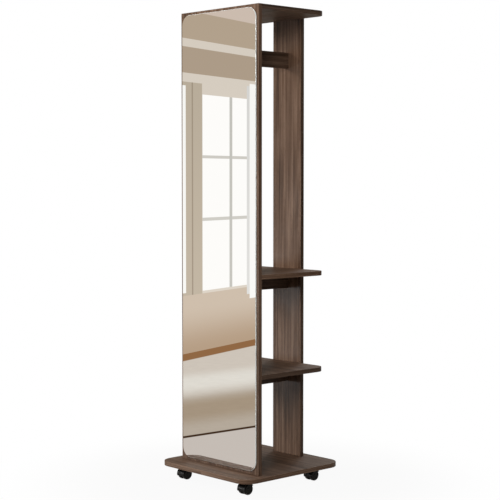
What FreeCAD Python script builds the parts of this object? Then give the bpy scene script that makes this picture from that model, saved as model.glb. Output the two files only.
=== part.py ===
import FreeCAD, Part
import Sketcher
import os
import re

# Revolving wardrobe cabinet: a tall mirror on the front of an open, two-sided
# wardrobe that turns on four twin-wheel swivel casters.
# Millimetres. +Z is up, the mirror faces -Y, the open sides face -X and +X.
# The origin is on the floor, under the middle of the base board.

# Driving dimensions: alias, value, what it sizes.
SIZES = [
    ("board_thickness", 16, "every board of the carcass and the base"),
    ("edge_round", 0.8, "eased edge of every board"),
    ("cabinet_width", 412, "mirror board, top board and shelves, along X"),
    ("upright_height", 1632, "mirror board and rear board, above the base"),
    ("shelf_corner_radius", 43, "rounded rear corners of top board and shelves"),
    ("rear_board_width", 147, "rear upright, along X"),
    ("lower_shelf_level", 334, "underside of the lower shelf above the base"),
    ("middle_shelf_level", 683, "underside of the middle shelf above the base"),
    ("rail_height", 58, "hanging rail and the apron under each shelf"),
    ("hook_gap", 119, "free height between hanging rail and top board"),
    ("base_width", 476, "base board, along X"),
    ("base_depth", 476, "base board, along Y"),
    ("base_corner_radius", 55, "rounded corners of the base board"),
    ("front_setback", 88, "front of the mirror board behind the base's front edge"),
    ("rear_setback", 35, "back of the rear board in front of the base's rear edge"),
    ("glass_thickness", 4, "mirror glass"),
    ("glass_margin", 10, "board left bare round the glass"),
    ("glass_corner_radius", 38, "rounded corners of the glass"),
    ("glass_arris", 0.9, "ground arris round the front of the glass"),
    ("tape_thickness", 1, "mounting tape behind the glass"),
    ("tape_width", 25, "one strip of tape"),
    ("tape_end_gap", 60, "glass left free above and below the tape"),
    ("tape_side_gap", 30, "glass left free beside the outer strips"),
    ("cam_radius", 7.4, "cam lock"),
    ("cam_height", 12.5, "cam lock"),
    ("cam_setback", 34, "cam axis behind the edge it pulls on"),
    ("cam_spread", 280, "between the two cams of a board"),
    ("cam_slot_width", 7, "window of the cam for the bolt's head"),
    ("cam_drive_length", 10, "each arm of the cam's cross drive"),
    ("cam_drive_width", 2.6, "each arm of the cam's cross drive"),
    ("cam_drive_depth", 2.2, "cross drive of the cam"),
    ("cam_bolt_radius", 2.5, "threaded foot and shank of the cam bolt"),
    ("cam_bolt_depth", 11, "threaded foot in the mirror board"),
    ("cam_bolt_head_radius", 3.1, "head held by the cam"),
    ("cam_bolt_neck_radius", 1.7, "neck below that head"),
    ("cam_bolt_neck_length", 1.4, "neck below that head"),
    ("cam_bolt_head_height", 2.8, "head held by the cam"),
    ("dowel_radius", 4, "beech dowel"),
    ("dowel_length", 30, "beech dowel"),
    ("dowel_depth", 11, "dowel in the mirror board"),
    ("dowel_chamfer", 1, "both ends of a dowel"),
    ("dowel_spread", 176, "between the two dowels of a board"),
    ("rail_dowel_spread", 34, "between the two dowels of a rail"),
    ("screw_length", 50, "one-piece carcass screw"),
    ("screw_shank_radius", 3.5, "smooth shank in the outer board"),
    ("screw_core_radius", 2.5, "threaded length in the edge of a board"),
    ("screw_head_radius", 5, "countersunk head"),
    ("screw_socket_radius", 2, "drive socket in the head"),
    ("screw_socket_depth", 2.6, "drive socket in the head"),
    ("screw_tip_length", 3, "tapered point of a screw"),
    ("screw_tip_radius", 1, "blunt end of that point"),
    ("rear_screw_spread", 88, "between the two rear screws of a board"),
    ("rail_screw_spread", 32, "between the two rear screws of a rail"),
    ("front_screw_spread", 110, "between the base screws under the mirror board"),
    ("cap_radius", 6.5, "cover cap on a rear screw"),
    ("cap_thickness", 1.4, "cover cap, outside the board"),
    ("cap_slope", 1.5, "sloping rim of the cover cap"),
    ("cap_peg_length", 1.6, "peg of the cap in the drive socket"),
    ("fastener_clearance", 0.1, "round every fastener in its hole"),
    ("caster_height", 52, "underside of the base above the floor"),
    ("caster_inset", 74, "swivel axis in from the edges of the base"),
    ("caster_trail", 9, "wheel axle out from the swivel axis"),
    ("plate_side", 42, "square mounting plate"),
    ("plate_thickness", 2.5, "mounting plate and the floor of its cup"),
    ("plate_corner_radius", 5, "mounting plate"),
    ("plate_hole_pitch", 32, "between the screws of a plate"),
    ("plate_hole_radius", 2.3, "screw holes of the plate"),
    ("cup_radius", 12.5, "pressed cup of the plate, outside"),
    ("cup_drop", 2.2, "pressed cup below the plate"),
    ("cup_wall", 3.5, "pressed cup, side"),
    ("plate_screw_length", 14, "screws of the caster plates"),
    ("plate_screw_radius", 1.9, "screws of the caster plates"),
    ("plate_screw_head_radius", 3.6, "pan head"),
    ("plate_screw_head_height", 2.2, "pan head"),
    ("plate_screw_head_slope", 1.2, "sloping rim of the pan head"),
    ("pin_radius", 3, "swivel pin"),
    ("pin_length", 20.5, "swivel pin below the cup"),
    ("pin_head_radius", 8, "swivel pin, riveted head"),
    ("pin_head_height", 1.8, "swivel pin, riveted head"),
    ("pin_chamfer", 0.6, "lower end of the swivel pin"),
    ("clip_radius", 3.8, "spring clip on the pin, outside"),
    ("clip_thickness", 1, "spring clip on the pin"),
    ("clip_seat_radius", 2.3, "groove of the pin under the clip"),
    ("clip_drop", 15, "top of the clip below the cup"),
    ("clip_room", 0.3, "free round the clip in the housing"),
    ("running_clearance", 0.05, "radial, pin and axle in what turns on them"),
    ("press_clearance", 0.01, "radial, axle held in the housing"),
    ("turning_gap", 0.4, "between faces that turn past each other"),
    ("wheel_radius", 20, "twin wheels"),
    ("wheel_width", 13.5, "one wheel"),
    ("wheel_gap", 11, "between the two wheels"),
    ("rim_wall", 3.2, "rim of the wheel"),
    ("web_wall", 2.6, "outer disc of the wheel"),
    ("face_recess", 1, "ring pressed into the outer disc"),
    ("face_recess_outer", 14, "outer radius of that ring"),
    ("face_recess_inner", 6.5, "inner radius of that ring"),
    ("face_step_radius", 10.5, "step in the middle of that ring"),
    ("face_step", 0.5, "depth of that step"),
    ("shoulder_round", 4.5, "outer shoulder of the tread"),
    ("lip_round", 1.8, "inner edge of the tread"),
    ("hub_radius", 5, "hub of the wheel"),
    ("rib_thickness", 1.4, "ribs between hub and rim"),
    ("rib_setback", 2.5, "ribs behind the open side of the wheel"),
    ("rib_number", 6, "ribs of a wheel"),
    ("rib_root", 0.5, "rib sunk into hub and rim"),
    ("rib_foot", 0.2, "rib sunk into the outer disc"),
    ("axle_radius", 2.5, "wheel axle"),
    ("axle_end_wall", 1.2, "wheel's face over the end of the axle"),
    ("axle_chamfer", 0.5, "both ends of the axle"),
    ("hood_clearance", 1, "hood over the tread"),
    ("hood_wall", 1.6, "hood"),
    ("hood_front_angle", 28, "end of the hood under the head, above level"),
    ("hood_back_angle", 196, "end of the hood behind the wheels, the same way round"),
    ("boss_wall", 2.5, "neck of the housing round the swivel pin"),
    ("housing_hub_radius", 8, "housing round the axle"),
    ("head_radius", 9.5, "turning head of the housing"),
    ("hood_round", 0.8, "rounded outer edges of the hood"),
]

# Places and sizes that follow from the driving dimensions.
DERIVED = {
    "base_top": "caster_height + board_thickness",
    "top_level": "upright_height - board_thickness",
    "hanging_rail_level": "top_level - hook_gap - rail_height",
    "middle_apron_level": "middle_shelf_level - rail_height",
    "lower_apron_level": "lower_shelf_level - rail_height",
    "mirror_front": "front_setback - base_depth / 2",
    "shelf_front": "mirror_front + board_thickness",
    "shelf_depth": "base_depth - front_setback - rear_setback - 2 * board_thickness",
    "shelf_back": "shelf_front + shelf_depth",
    "glass_back": "mirror_front - tape_thickness",
    "glass_width": "cabinet_width - 2 * glass_margin",
    "glass_height": "upright_height - 2 * glass_margin",
    "tape_height": "glass_height - 2 * tape_end_gap",
    "tape_pitch": "(glass_width - 2 * tape_side_gap - tape_width) / 2",
    "cam_hole_radius": "cam_radius + fastener_clearance",
    "cam_hole_depth": "cam_height + fastener_clearance",
    "cam_bolt_way": "cam_bolt_head_radius + fastener_clearance",
    "dowel_hole": "dowel_radius + fastener_clearance",
    "dowel_rest": "dowel_length - dowel_depth",
    "screw_shank_hole": "screw_shank_radius + fastener_clearance",
    "screw_core_hole": "screw_core_radius + fastener_clearance",
    "screw_core_depth": "screw_length - board_thickness + fastener_clearance",
    "head_cone": "screw_head_radius - screw_shank_radius",
    "plate_screw_depth": "plate_screw_length - plate_thickness",
    "caster_x": "base_width / 2 - caster_inset",
    "caster_y": "base_depth / 2 - caster_inset",
    "plate_level": "caster_height - plate_thickness",
    "cup_level": "plate_level - cup_drop",
    "head_level": "cup_level - turning_gap",
    "pin_end": "cup_level - pin_length",
    "clip_level": "cup_level - clip_drop - clip_thickness",
    "neck_thickness": "wheel_gap - 2 * turning_gap",
    "hood_width": "wheel_gap + 2 * wheel_width",
    "hood_inner": "wheel_radius + hood_clearance",
    "hood_outer": "hood_inner + hood_wall",
    "axle_reach": "wheel_gap / 2 + wheel_width - axle_end_wall - turning_gap",
    "rib_length": "wheel_width - web_wall - rib_setback",
    "axle_y": "-1 * caster_trail",
}

SIZE_NAMES = {alias for alias, value, note in SIZES}
FULL_TURN = 360
HALF_TURN = 180
RIGHT_ANGLE = 90
SAME_PLACE = 0.001

doc = FreeCAD.newDocument("RevolvingWardrobeCabinet")
sheet = doc.addObject("Spreadsheet::Sheet", "Sizes")
for row, (alias, value, note) in enumerate(SIZES, start=1):
    sheet.set(f"A{row}", alias)
    sheet.set(f"B{row}", str(value))
    sheet.set(f"C{row}", note)
    sheet.setAlias(f"B{row}", alias)
doc.recompute()

sub_parts = []


# ---------------------------------------------------------------- expressions

def expand(text):
    """Write sizes and derived names out as an expression on the sheet."""
    def replace(match):
        word = match.group(0)
        if word in DERIVED:
            return "(" + expand(DERIVED[word]) + ")"
        if word in SIZE_NAMES:
            return "Sizes." + word
        return word
    return re.sub(r"[a-z_]+", replace, str(text))


def number(text):
    """Value of such an expression now."""
    result = sheet.evalExpression(expand(text))
    return float(getattr(result, "Value", result))


def bind(thing, path, text):
    thing.setExpression(path, expand(text))


# ----------------------------------------------------------- sketches, features

def new_body(label, x="0", y="0", z="0", turned=0):
    """A sub-part with its own frame at x, y, z, turned about Z by degrees."""
    body = doc.addObject("PartDesign::Body", label)
    body.Label = label
    turn = FreeCAD.Rotation(FreeCAD.Vector(0, 0, 1), turned)
    body.Placement = FreeCAD.Placement(FreeCAD.Vector(0, 0, 0), turn)
    for axis, text in (("x", x), ("y", y), ("z", z)):
        bind(body, "Placement.Base." + axis, text)
    return body


def sketch_on(body, name, role, offset="0"):
    """Sketch on the body's own XY, XZ or YZ plane, shifted along its normal."""
    plane = [item for item in body.Origin.OriginFeatures if item.Role == role][0]
    sketch = body.newObject("Sketcher::SketchObject", name)
    sketch.AttachmentSupport = [(plane, "")]
    sketch.MapMode = "FlatFace"
    bind(sketch, "AttachmentOffset.Base.z", offset)
    return sketch


def fix_point(sketch, geometry, point, x, y):
    """Hold one point of the sketch at x, y, which are size expressions."""
    for kind, axis, text in (("DistanceX", -2, x), ("DistanceY", -1, y)):
        if text == "0":
            sketch.addConstraint(Sketcher.Constraint("PointOnObject", geometry, point, axis))
            continue
        constraint = Sketcher.Constraint(kind, -1, 1, geometry, point, number(text))
        index = sketch.addConstraint(constraint)
        bind(sketch, f"Constraints[{index}]", text)


def circle(sketch, x, y, radius):
    centre = FreeCAD.Vector(number(x), number(y), 0)
    shape = Part.Circle(centre, FreeCAD.Vector(0, 0, 1), number(radius))
    geometry = sketch.addGeometry(shape, False)
    fix_point(sketch, geometry, 3, x, y)
    index = sketch.addConstraint(Sketcher.Constraint("Radius", geometry, number(radius)))
    bind(sketch, f"Constraints[{index}]", radius)


def polygon(sketch, points):
    """Closed outline through points, each a pair of size expressions."""
    vectors = [FreeCAD.Vector(number(x), number(y), 0) for x, y in points]
    lines = []
    for start, end in zip(vectors, vectors[1:] + vectors[:1]):
        lines.append(sketch.addGeometry(Part.LineSegment(start, end), False))
    for line, following in zip(lines, lines[1:] + lines[:1]):
        sketch.addConstraint(Sketcher.Constraint("Coincident", line, 2, following, 1))
    for line, (x, y) in zip(lines, points):
        fix_point(sketch, line, 1, x, y)


def rectangle(sketch, left, right, low, high):
    polygon(sketch, [(left, low), (right, low), (right, high), (left, high)])


def feature(body, kind, name, sketch):
    made = body.newObject("PartDesign::" + kind, name)
    made.Profile = sketch
    sketch.Visibility = False
    return made


def pad(body, sketch, length, reverse=False, both_sides=False):
    made = feature(body, "Pad", "Pad" + sketch.Name, sketch)
    bind(made, "Length", length)
    made.Reversed = reverse
    made.SideType = "Symmetric" if both_sides else "One side"
    doc.recompute()
    return made


def cut(body, sketch, depth, reverse=False, both_sides=False):
    """Pocket that has to take material away."""
    before = body.Shape.Volume
    made = feature(body, "Pocket", "Cut" + sketch.Name, sketch)
    bind(made, "Length", depth)
    made.Reversed = reverse
    made.SideType = "Symmetric" if both_sides else "One side"
    doc.recompute()
    if not body.Shape.Volume < before:
        raise RuntimeError(f"{body.Label}: {made.Name} cuts nothing")
    return made


def revolve(body, sketch, axis, kind="Revolution"):
    made = feature(body, kind, kind + sketch.Name, sketch)
    made.ReferenceAxis = (sketch, [axis])
    made.Angle = FULL_TURN
    doc.recompute()
    return made


def drill(body, name, role, offset, centres, radius, depth, reverse=False):
    """Round blind holes of one size, all from one plane."""
    sketch = sketch_on(body, name, role, offset)
    for x, y in centres:
        circle(sketch, x, y, radius)
    return cut(body, sketch, depth, reverse)


def screw_holes(body, name, role, offset, centres, reverse):
    """Through holes with a countersink for the carcass screws' heads."""
    sketch = sketch_on(body, name, role, offset)
    for x, y in centres:
        circle(sketch, x, y, "screw_shank_hole")
    before = body.Shape.Volume
    hole = feature(body, "Hole", "Hole" + name, sketch)
    hole.Threaded = False
    hole.ThreadType = "None"
    hole.DepthType = "ThroughAll"
    hole.Reversed = reverse
    bind(hole, "Diameter", "2 * screw_shank_hole")
    hole.HoleCutType = "Countersink"
    hole.HoleCutCustomValues = True
    bind(hole, "HoleCutDiameter", "2 * (screw_head_radius + fastener_clearance)")
    hole.HoleCutCountersinkAngle = RIGHT_ANGLE
    doc.recompute()
    if not body.Shape.Volume < before:
        raise RuntimeError(f"{body.Label}: {hole.Name} cuts nothing")


def round_edges(body, base, wanted, radius, kind="Fillet"):
    """Fillet or chamfer the edges of base that the test picks."""
    names = [f"Edge{i}" for i, edge in enumerate(base.Shape.Edges, start=1) if wanted(edge)]
    made = body.newObject("PartDesign::" + kind, kind + base.Name)
    made.Base = (base, names)
    bind(made, "Radius" if kind == "Fillet" else "Size", radius)
    base.Visibility = False
    doc.recompute()
    return made


def runs_along(edge, axis):
    """True for a straight edge along axis 0, 1 or 2."""
    if edge.Curve.TypeId != "Part::GeomLine":
        return False
    return abs(abs(edge.Curve.Direction[axis]) - 1) < SAME_PLACE


def lies_at(edge, axis, place):
    """True for an edge that lies flat at place along axis 0, 1 or 2."""
    ends = [edge.BoundBox.XMin, edge.BoundBox.YMin, edge.BoundBox.ZMin][axis]
    far_ends = [edge.BoundBox.XMax, edge.BoundBox.YMax, edge.BoundBox.ZMax][axis]
    return abs(ends - place) < SAME_PLACE and abs(far_ends - place) < SAME_PLACE


def keep(body):
    """Take a finished sub-part into the list that is written out."""
    sub_parts.append(body)
    return body


def group(label, master, places):
    """One node of identical fasteners: the master's shape at each placement."""
    doc.recompute()
    shapes = []
    for place in places:
        copy = master.Shape.copy()
        copy.Placement = place
        shapes.append(copy)
    node = doc.addObject("Part::Feature", label)
    node.Label = label
    node.Shape = Part.makeCompound(shapes)
    master.Visibility = False
    return keep(node)


def spot(x, y, z, axis=(0, 0, 1), degrees=0):
    """Placement at x, y, z (size expressions), turned about one axis."""
    base = FreeCAD.Vector(number(x), number(y), number(z))
    return FreeCAD.Placement(base, FreeCAD.Rotation(FreeCAD.Vector(*axis), degrees))


# --------------------------------------------------------------- carcass layout

BOARD_LEVELS = ["lower_shelf_level", "middle_shelf_level", "top_level"]
RAILS = [
    ("lower_apron", "lower_apron_level"),
    ("middle_apron", "middle_apron_level"),
    ("hanging_rail", "hanging_rail_level"),
]
SIDES = (-1, 1)


def pair(spread):
    """The two places half a spread either side of the middle."""
    return [f"{side} * {spread} / 2" for side in SIDES]


def board_mids():
    return [f"{level} + board_thickness / 2" for level in BOARD_LEVELS]


def rail_mids():
    return [f"{level} + rail_height / 2" for name, level in RAILS]


# Cam bolts and dowels enter the back of the mirror board: x and height above the base.
CAM_PLACES = [(x, z) for z in board_mids() for x in pair("cam_spread")]
CAM_PLACES_RAIL = [("0", z) for z in rail_mids()]
DOWEL_PLACES = [(x, z) for z in board_mids() for x in pair("dowel_spread")]
DOWEL_PLACES += [("0", f"{z} + {dz}") for z in rail_mids() for dz in pair("rail_dowel_spread")]
# Carcass screws enter the back of the rear board.
REAR_SCREWS = [(x, z) for z in board_mids() for x in pair("rear_screw_spread")]
REAR_SCREWS += [("0", f"{z} + {dz}") for z in rail_mids() for dz in pair("rail_screw_spread")]
# Carcass screws enter the underside of the base: x and depth.
FRONT_EDGE_X = ["-1 * front_screw_spread", "0", "front_screw_spread"]
REAR_EDGE_X = pair("rear_screw_spread")
MIRROR_BOARD_MID = "mirror_front + board_thickness / 2"
REAR_BOARD_MID = "shelf_back + board_thickness / 2"
BASE_SCREWS = [(x, MIRROR_BOARD_MID) for x in FRONT_EDGE_X]
BASE_SCREWS += [(x, REAR_BOARD_MID) for x in REAR_EDGE_X]
# Casters: corner name, side along X, side along Y. All trail towards -Y.
CORNERS = [
    ("front_left", -1, -1),
    ("front_right", 1, -1),
    ("rear_left", -1, 1),
    ("rear_right", 1, 1),
]
PLATE_SCREWS = [
    (f"{sx} * caster_x + {dx}", f"{sy} * caster_y + {dy}")
    for corner, sx, sy in CORNERS
    for dx in pair("plate_hole_pitch")
    for dy in pair("plate_hole_pitch")
]


# ---------------------------------------------------------------------- boards

def upright(label, width, y):
    """Upright board on the base, its front face at y."""
    body = new_body(label, y=y, z="base_top")
    outline = sketch_on(body, label + "_outline", "XZ_Plane")
    rectangle(outline, f"-1 * {width} / 2", f"{width} / 2", "0", "upright_height")
    block = pad(body, outline, "board_thickness", reverse=True)
    round_edges(body, block, lambda edge: True, "edge_round")
    return body


def make_mirror_board():
    body = upright("mirror_board", "cabinet_width", "mirror_front")
    back = "-1 * board_thickness"
    bolts = CAM_PLACES + CAM_PLACES_RAIL
    drill(body, "cam_bolt_holes", "XZ_Plane", back, bolts,
          "cam_bolt_radius + fastener_clearance", "cam_bolt_depth + fastener_clearance", True)
    drill(body, "dowel_holes", "XZ_Plane", back, DOWEL_PLACES,
          "dowel_hole", "dowel_depth + fastener_clearance", True)
    drill(body, "foot_holes", "XY_Plane", "0",
          [(x, "board_thickness / 2") for x in FRONT_EDGE_X],
          "screw_core_hole", "screw_core_depth", True)
    keep(body)


def make_rear_board():
    body = upright("rear_board", "rear_board_width", "shelf_back")
    screw_holes(body, "rear_holes", "XZ_Plane", "-1 * board_thickness", REAR_SCREWS, True)
    drill(body, "foot_holes_rear", "XY_Plane", "0",
          [(x, "board_thickness / 2") for x in REAR_EDGE_X],
          "screw_core_hole", "screw_core_depth", True)
    keep(body)


def make_shelf(label, level):
    """Level board between the uprights: cams and dowels in front, screws behind."""
    body = new_body(label, y="shelf_front", z=f"base_top + {level}")
    outline = sketch_on(body, label + "_outline", "XY_Plane")
    rectangle(outline, "-1 * cabinet_width / 2", "cabinet_width / 2", "0", "shelf_depth")
    block = pad(body, outline, "board_thickness")
    back = number("shelf_depth")
    corners = round_edges(body, block, lambda edge: runs_along(edge, 2) and lies_at(edge, 1, back),
                          "shelf_corner_radius")
    faces = (0, number("board_thickness"))
    round_edges(body, corners, lambda edge: any(lies_at(edge, 2, z) for z in faces), "edge_round")
    middle = "board_thickness / 2"
    drill(body, label + "_cam_seats", "XY_Plane", "0",
          [(x, "cam_setback") for x in pair("cam_spread")],
          "cam_hole_radius", "cam_hole_depth", True)
    drill(body, label + "_bolt_ways", "XZ_Plane", "0",
          [(x, middle) for x in pair("cam_spread")], "cam_bolt_way", "cam_setback")
    drill(body, label + "_dowel_holes", "XZ_Plane", "0",
          [(x, middle) for x in pair("dowel_spread")],
          "dowel_hole", "dowel_rest + fastener_clearance")
    drill(body, label + "_screw_holes", "XZ_Plane", "-1 * shelf_depth",
          [(x, middle) for x in pair("rear_screw_spread")],
          "screw_core_hole", "screw_core_depth", True)
    keep(body)


def make_rail(label, level):
    """Cross rail on edge in the middle plane, from mirror board to rear board."""
    body = new_body(label, y="shelf_front", z=f"base_top + {level}")
    outline = sketch_on(body, label + "_outline", "YZ_Plane")
    rectangle(outline, "0", "shelf_depth", "0", "rail_height")
    block = pad(body, outline, "board_thickness", both_sides=True)
    round_edges(body, block, lambda edge: True, "edge_round")
    middle = "rail_height / 2"
    drill(body, label + "_cam_seat", "YZ_Plane", "-1 * board_thickness / 2",
          [("cam_setback", middle)], "cam_hole_radius", "cam_hole_depth", True)
    drill(body, label + "_bolt_way", "XZ_Plane", "0", [("0", middle)],
          "cam_bolt_way", "cam_setback")
    drill(body, label + "_dowel_holes", "XZ_Plane", "0",
          [("0", f"{middle} + {dz}") for dz in pair("rail_dowel_spread")],
          "dowel_hole", "dowel_rest + fastener_clearance")
    drill(body, label + "_screw_holes", "XZ_Plane", "-1 * shelf_depth",
          [("0", f"{middle} + {dz}") for dz in pair("rail_screw_spread")],
          "screw_core_hole", "screw_core_depth", True)
    keep(body)


def make_base():
    body = new_body("base_board", z="caster_height")
    outline = sketch_on(body, "base_outline", "XY_Plane")
    rectangle(outline, "-1 * base_width / 2", "base_width / 2",
              "-1 * base_depth / 2", "base_depth / 2")
    block = pad(body, outline, "board_thickness")
    corners = round_edges(body, block, lambda edge: runs_along(edge, 2), "base_corner_radius")
    faces = (0, number("board_thickness"))
    round_edges(body, corners, lambda edge: any(lies_at(edge, 2, z) for z in faces), "edge_round")
    screw_holes(body, "base_holes", "XY_Plane", "0", BASE_SCREWS, True)
    drill(body, "caster_pilot_holes", "XY_Plane", "0", PLATE_SCREWS,
          "plate_screw_radius + fastener_clearance",
          "plate_screw_depth + fastener_clearance", True)
    keep(body)


# ---------------------------------------------------------------------- mirror

def make_glass():
    """Glass with round corners and a ground arris, stuck on the mirror board."""
    body = new_body("mirror_glass", y="glass_back", z="base_top + glass_margin")
    outline = sketch_on(body, "glass_outline", "XZ_Plane")
    rectangle(outline, "-1 * glass_width / 2", "glass_width / 2", "0", "glass_height")
    block = pad(body, outline, "glass_thickness")
    corners = round_edges(body, block, lambda edge: runs_along(edge, 1), "glass_corner_radius")
    front = -number("glass_thickness")
    round_edges(body, corners, lambda edge: lies_at(edge, 1, front), "glass_arris", "Chamfer")
    keep(body)


def make_tape():
    """Strips of foam tape between glass and board."""
    strip = new_body("tape_strip")
    outline = sketch_on(strip, "strip_outline", "XZ_Plane")
    rectangle(outline, "-1 * tape_width / 2", "tape_width / 2", "0", "tape_height")
    pad(strip, outline, "tape_thickness")
    low = "base_top + glass_margin + tape_end_gap"
    places = [spot(f"{step} * tape_pitch", "mirror_front", low) for step in (-1, 0, 1)]
    group("mirror_tape", strip, places)


# ------------------------------------------------------------------- fasteners

def make_cam_bolts():
    """Bolts along +Y: threaded foot, shank, neck and head inside the cam."""
    master = new_body("cam_bolt")
    half = sketch_on(master, "cam_bolt_half", "XY_Plane")
    head = "cam_setback - cam_bolt_head_height / 2"
    neck = f"{head} - cam_bolt_neck_length"
    end = f"{head} + cam_bolt_head_height"
    polygon(half, [
        ("0", "-1 * cam_bolt_depth"),
        ("cam_bolt_radius", "-1 * cam_bolt_depth"),
        ("cam_bolt_radius", neck),
        ("cam_bolt_neck_radius", neck),
        ("cam_bolt_neck_radius", head),
        ("cam_bolt_head_radius", head),
        ("cam_bolt_head_radius", end),
        ("0", end),
    ])
    revolve(master, half, "V_Axis")
    places = [spot(x, "shelf_front", f"base_top + {z}") for x, z in CAM_PLACES + CAM_PLACES_RAIL]
    group("cam_bolts", master, places)


def make_cam_locks():
    """Cam discs with a cross drive, and a window for the bolt's head."""
    master = new_body("cam_lock")
    disc = sketch_on(master, "cam_disc", "XY_Plane")
    circle(disc, "0", "0", "cam_radius")
    pad(master, disc, "cam_height")
    window = sketch_on(master, "cam_window", "XY_Plane", "board_thickness / 2")
    rectangle(window, "-1 * cam_slot_width / 2", "cam_slot_width / 2",
              "-2 * cam_radius", "cam_slot_width / 2")
    cut(master, window, "cam_slot_width", both_sides=True)
    arms = [("cam_drive_width", "cam_drive_length"), ("cam_drive_length", "cam_drive_width")]
    for count, (width, length) in enumerate(arms):
        slot = sketch_on(master, f"cam_drive_{count}", "XY_Plane")
        rectangle(slot, f"-1 * {width} / 2", f"{width} / 2", f"-1 * {length} / 2", f"{length} / 2")
        cut(master, slot, "cam_drive_depth", reverse=True)
    places = []
    for x, z in CAM_PLACES:
        places.append(spot(x, "shelf_front + cam_setback", f"base_top + {z} - board_thickness / 2"))
    for x, z in CAM_PLACES_RAIL:
        places.append(spot("-1 * board_thickness / 2", "shelf_front + cam_setback",
                           f"base_top + {z}", (0, 1, 0), RIGHT_ANGLE))
    group("cam_locks", master, places)


def make_dowels():
    master = new_body("dowel")
    half = sketch_on(master, "dowel_half", "XY_Plane")
    polygon(half, [
        ("0", "-1 * dowel_depth"),
        ("dowel_radius - dowel_chamfer", "-1 * dowel_depth"),
        ("dowel_radius", "dowel_chamfer - dowel_depth"),
        ("dowel_radius", "dowel_rest - dowel_chamfer"),
        ("dowel_radius - dowel_chamfer", "dowel_rest"),
        ("0", "dowel_rest"),
    ])
    revolve(master, half, "V_Axis")
    group("dowels", master, [spot(x, "shelf_front", f"base_top + {z}") for x, z in DOWEL_PLACES])


def make_carcass_screws():
    """One-piece screws, head at the origin and point towards +Z."""
    master = new_body("carcass_screw")
    half = sketch_on(master, "carcass_screw_half", "XZ_Plane")
    polygon(half, [
        ("0", "0"),
        ("screw_head_radius", "0"),
        ("screw_shank_radius", "head_cone"),
        ("screw_shank_radius", "board_thickness"),
        ("screw_core_radius", "board_thickness"),
        ("screw_core_radius", "screw_length - screw_tip_length"),
        ("screw_tip_radius", "screw_length"),
        ("0", "screw_length"),
    ])
    revolve(master, half, "V_Axis")
    drill(master, "carcass_screw_socket", "XY_Plane", "0", [("0", "0")],
          "screw_socket_radius", "screw_socket_depth", True)
    back = "shelf_back + board_thickness"
    rear = [spot(x, back, f"base_top + {z}", (1, 0, 0), RIGHT_ANGLE) for x, z in REAR_SCREWS]
    group("rear_screws", master, rear)
    group("base_screws", master, [spot(x, y, "caster_height") for x, y in BASE_SCREWS])


def make_screw_caps():
    """Plastic caps over the rear screws, each with a peg in the drive socket."""
    master = new_body("screw_cap")
    half = sketch_on(master, "screw_cap_half", "XZ_Plane")
    peg = "screw_socket_radius - fastener_clearance"
    polygon(half, [
        ("0", "-1 * cap_peg_length"),
        (peg, "-1 * cap_peg_length"),
        (peg, "0"),
        ("cap_radius", "0"),
        ("cap_radius", "cap_thickness / 2"),
        ("cap_radius - cap_slope", "cap_thickness"),
        ("0", "cap_thickness"),
    ])
    revolve(master, half, "V_Axis")
    back = "shelf_back + board_thickness"
    caps = [spot(x, back, f"base_top + {z}", (1, 0, 0), -RIGHT_ANGLE) for x, z in REAR_SCREWS]
    group("screw_caps", master, caps)


def make_plate_screws():
    """Pan-head screws that hold the caster plates, point towards +Z."""
    master = new_body("plate_screw")
    half = sketch_on(master, "plate_screw_half", "XZ_Plane")
    polygon(half, [
        ("0", "-1 * plate_screw_head_height"),
        ("plate_screw_head_radius - plate_screw_head_slope", "-1 * plate_screw_head_height"),
        ("plate_screw_head_radius", "-1 * plate_screw_head_height / 3"),
        ("plate_screw_head_radius", "0"),
        ("plate_screw_radius", "0"),
        ("plate_screw_radius", "plate_screw_length - screw_tip_length"),
        ("0", "plate_screw_length"),
    ])
    revolve(master, half, "V_Axis")
    group("caster_screws", master, [spot(x, y, "plate_level") for x, y in PLATE_SCREWS])


# --------------------------------------------------------------------- casters

AXLE_Y = "axle_y"
AXLE_Z = "wheel_radius"


def caster_body(label, corner, height="0", dx="0", dy="0", turned=0):
    """Body in the frame of one caster: swivel axis at x = y = 0, wheels towards -Y."""
    name, side_x, side_y = corner
    return new_body(label, x=f"{side_x} * caster_x + {dx}", y=f"{side_y} * caster_y + {dy}",
                    z=height, turned=turned)


def make_plate(corner):
    """Pressed steel plate with a cup round the swivel pin."""
    label = corner[0] + "_caster_plate"
    body = caster_body(label, corner, "plate_level")
    outline = sketch_on(body, label + "_outline", "XY_Plane")
    rectangle(outline, "-1 * plate_side / 2", "plate_side / 2",
              "-1 * plate_side / 2", "plate_side / 2")
    block = pad(body, outline, "plate_thickness")
    round_edges(body, block, lambda edge: runs_along(edge, 2), "plate_corner_radius")
    cup = sketch_on(body, label + "_cup", "XY_Plane")
    circle(cup, "0", "0", "cup_radius")
    pad(body, cup, "cup_drop", reverse=True)
    drill(body, label + "_cup_inside", "XY_Plane", "plate_thickness", [("0", "0")],
          "cup_radius - cup_wall", "cup_drop")
    drill(body, label + "_pin_hole", "XY_Plane", "plate_thickness", [("0", "0")],
          "pin_radius + press_clearance", "plate_thickness + cup_drop")
    holes = [(x, y) for x in pair("plate_hole_pitch") for y in pair("plate_hole_pitch")]
    drill(body, label + "_screw_holes", "XY_Plane", "plate_thickness", holes,
          "plate_hole_radius", "plate_thickness")
    keep(body)


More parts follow.
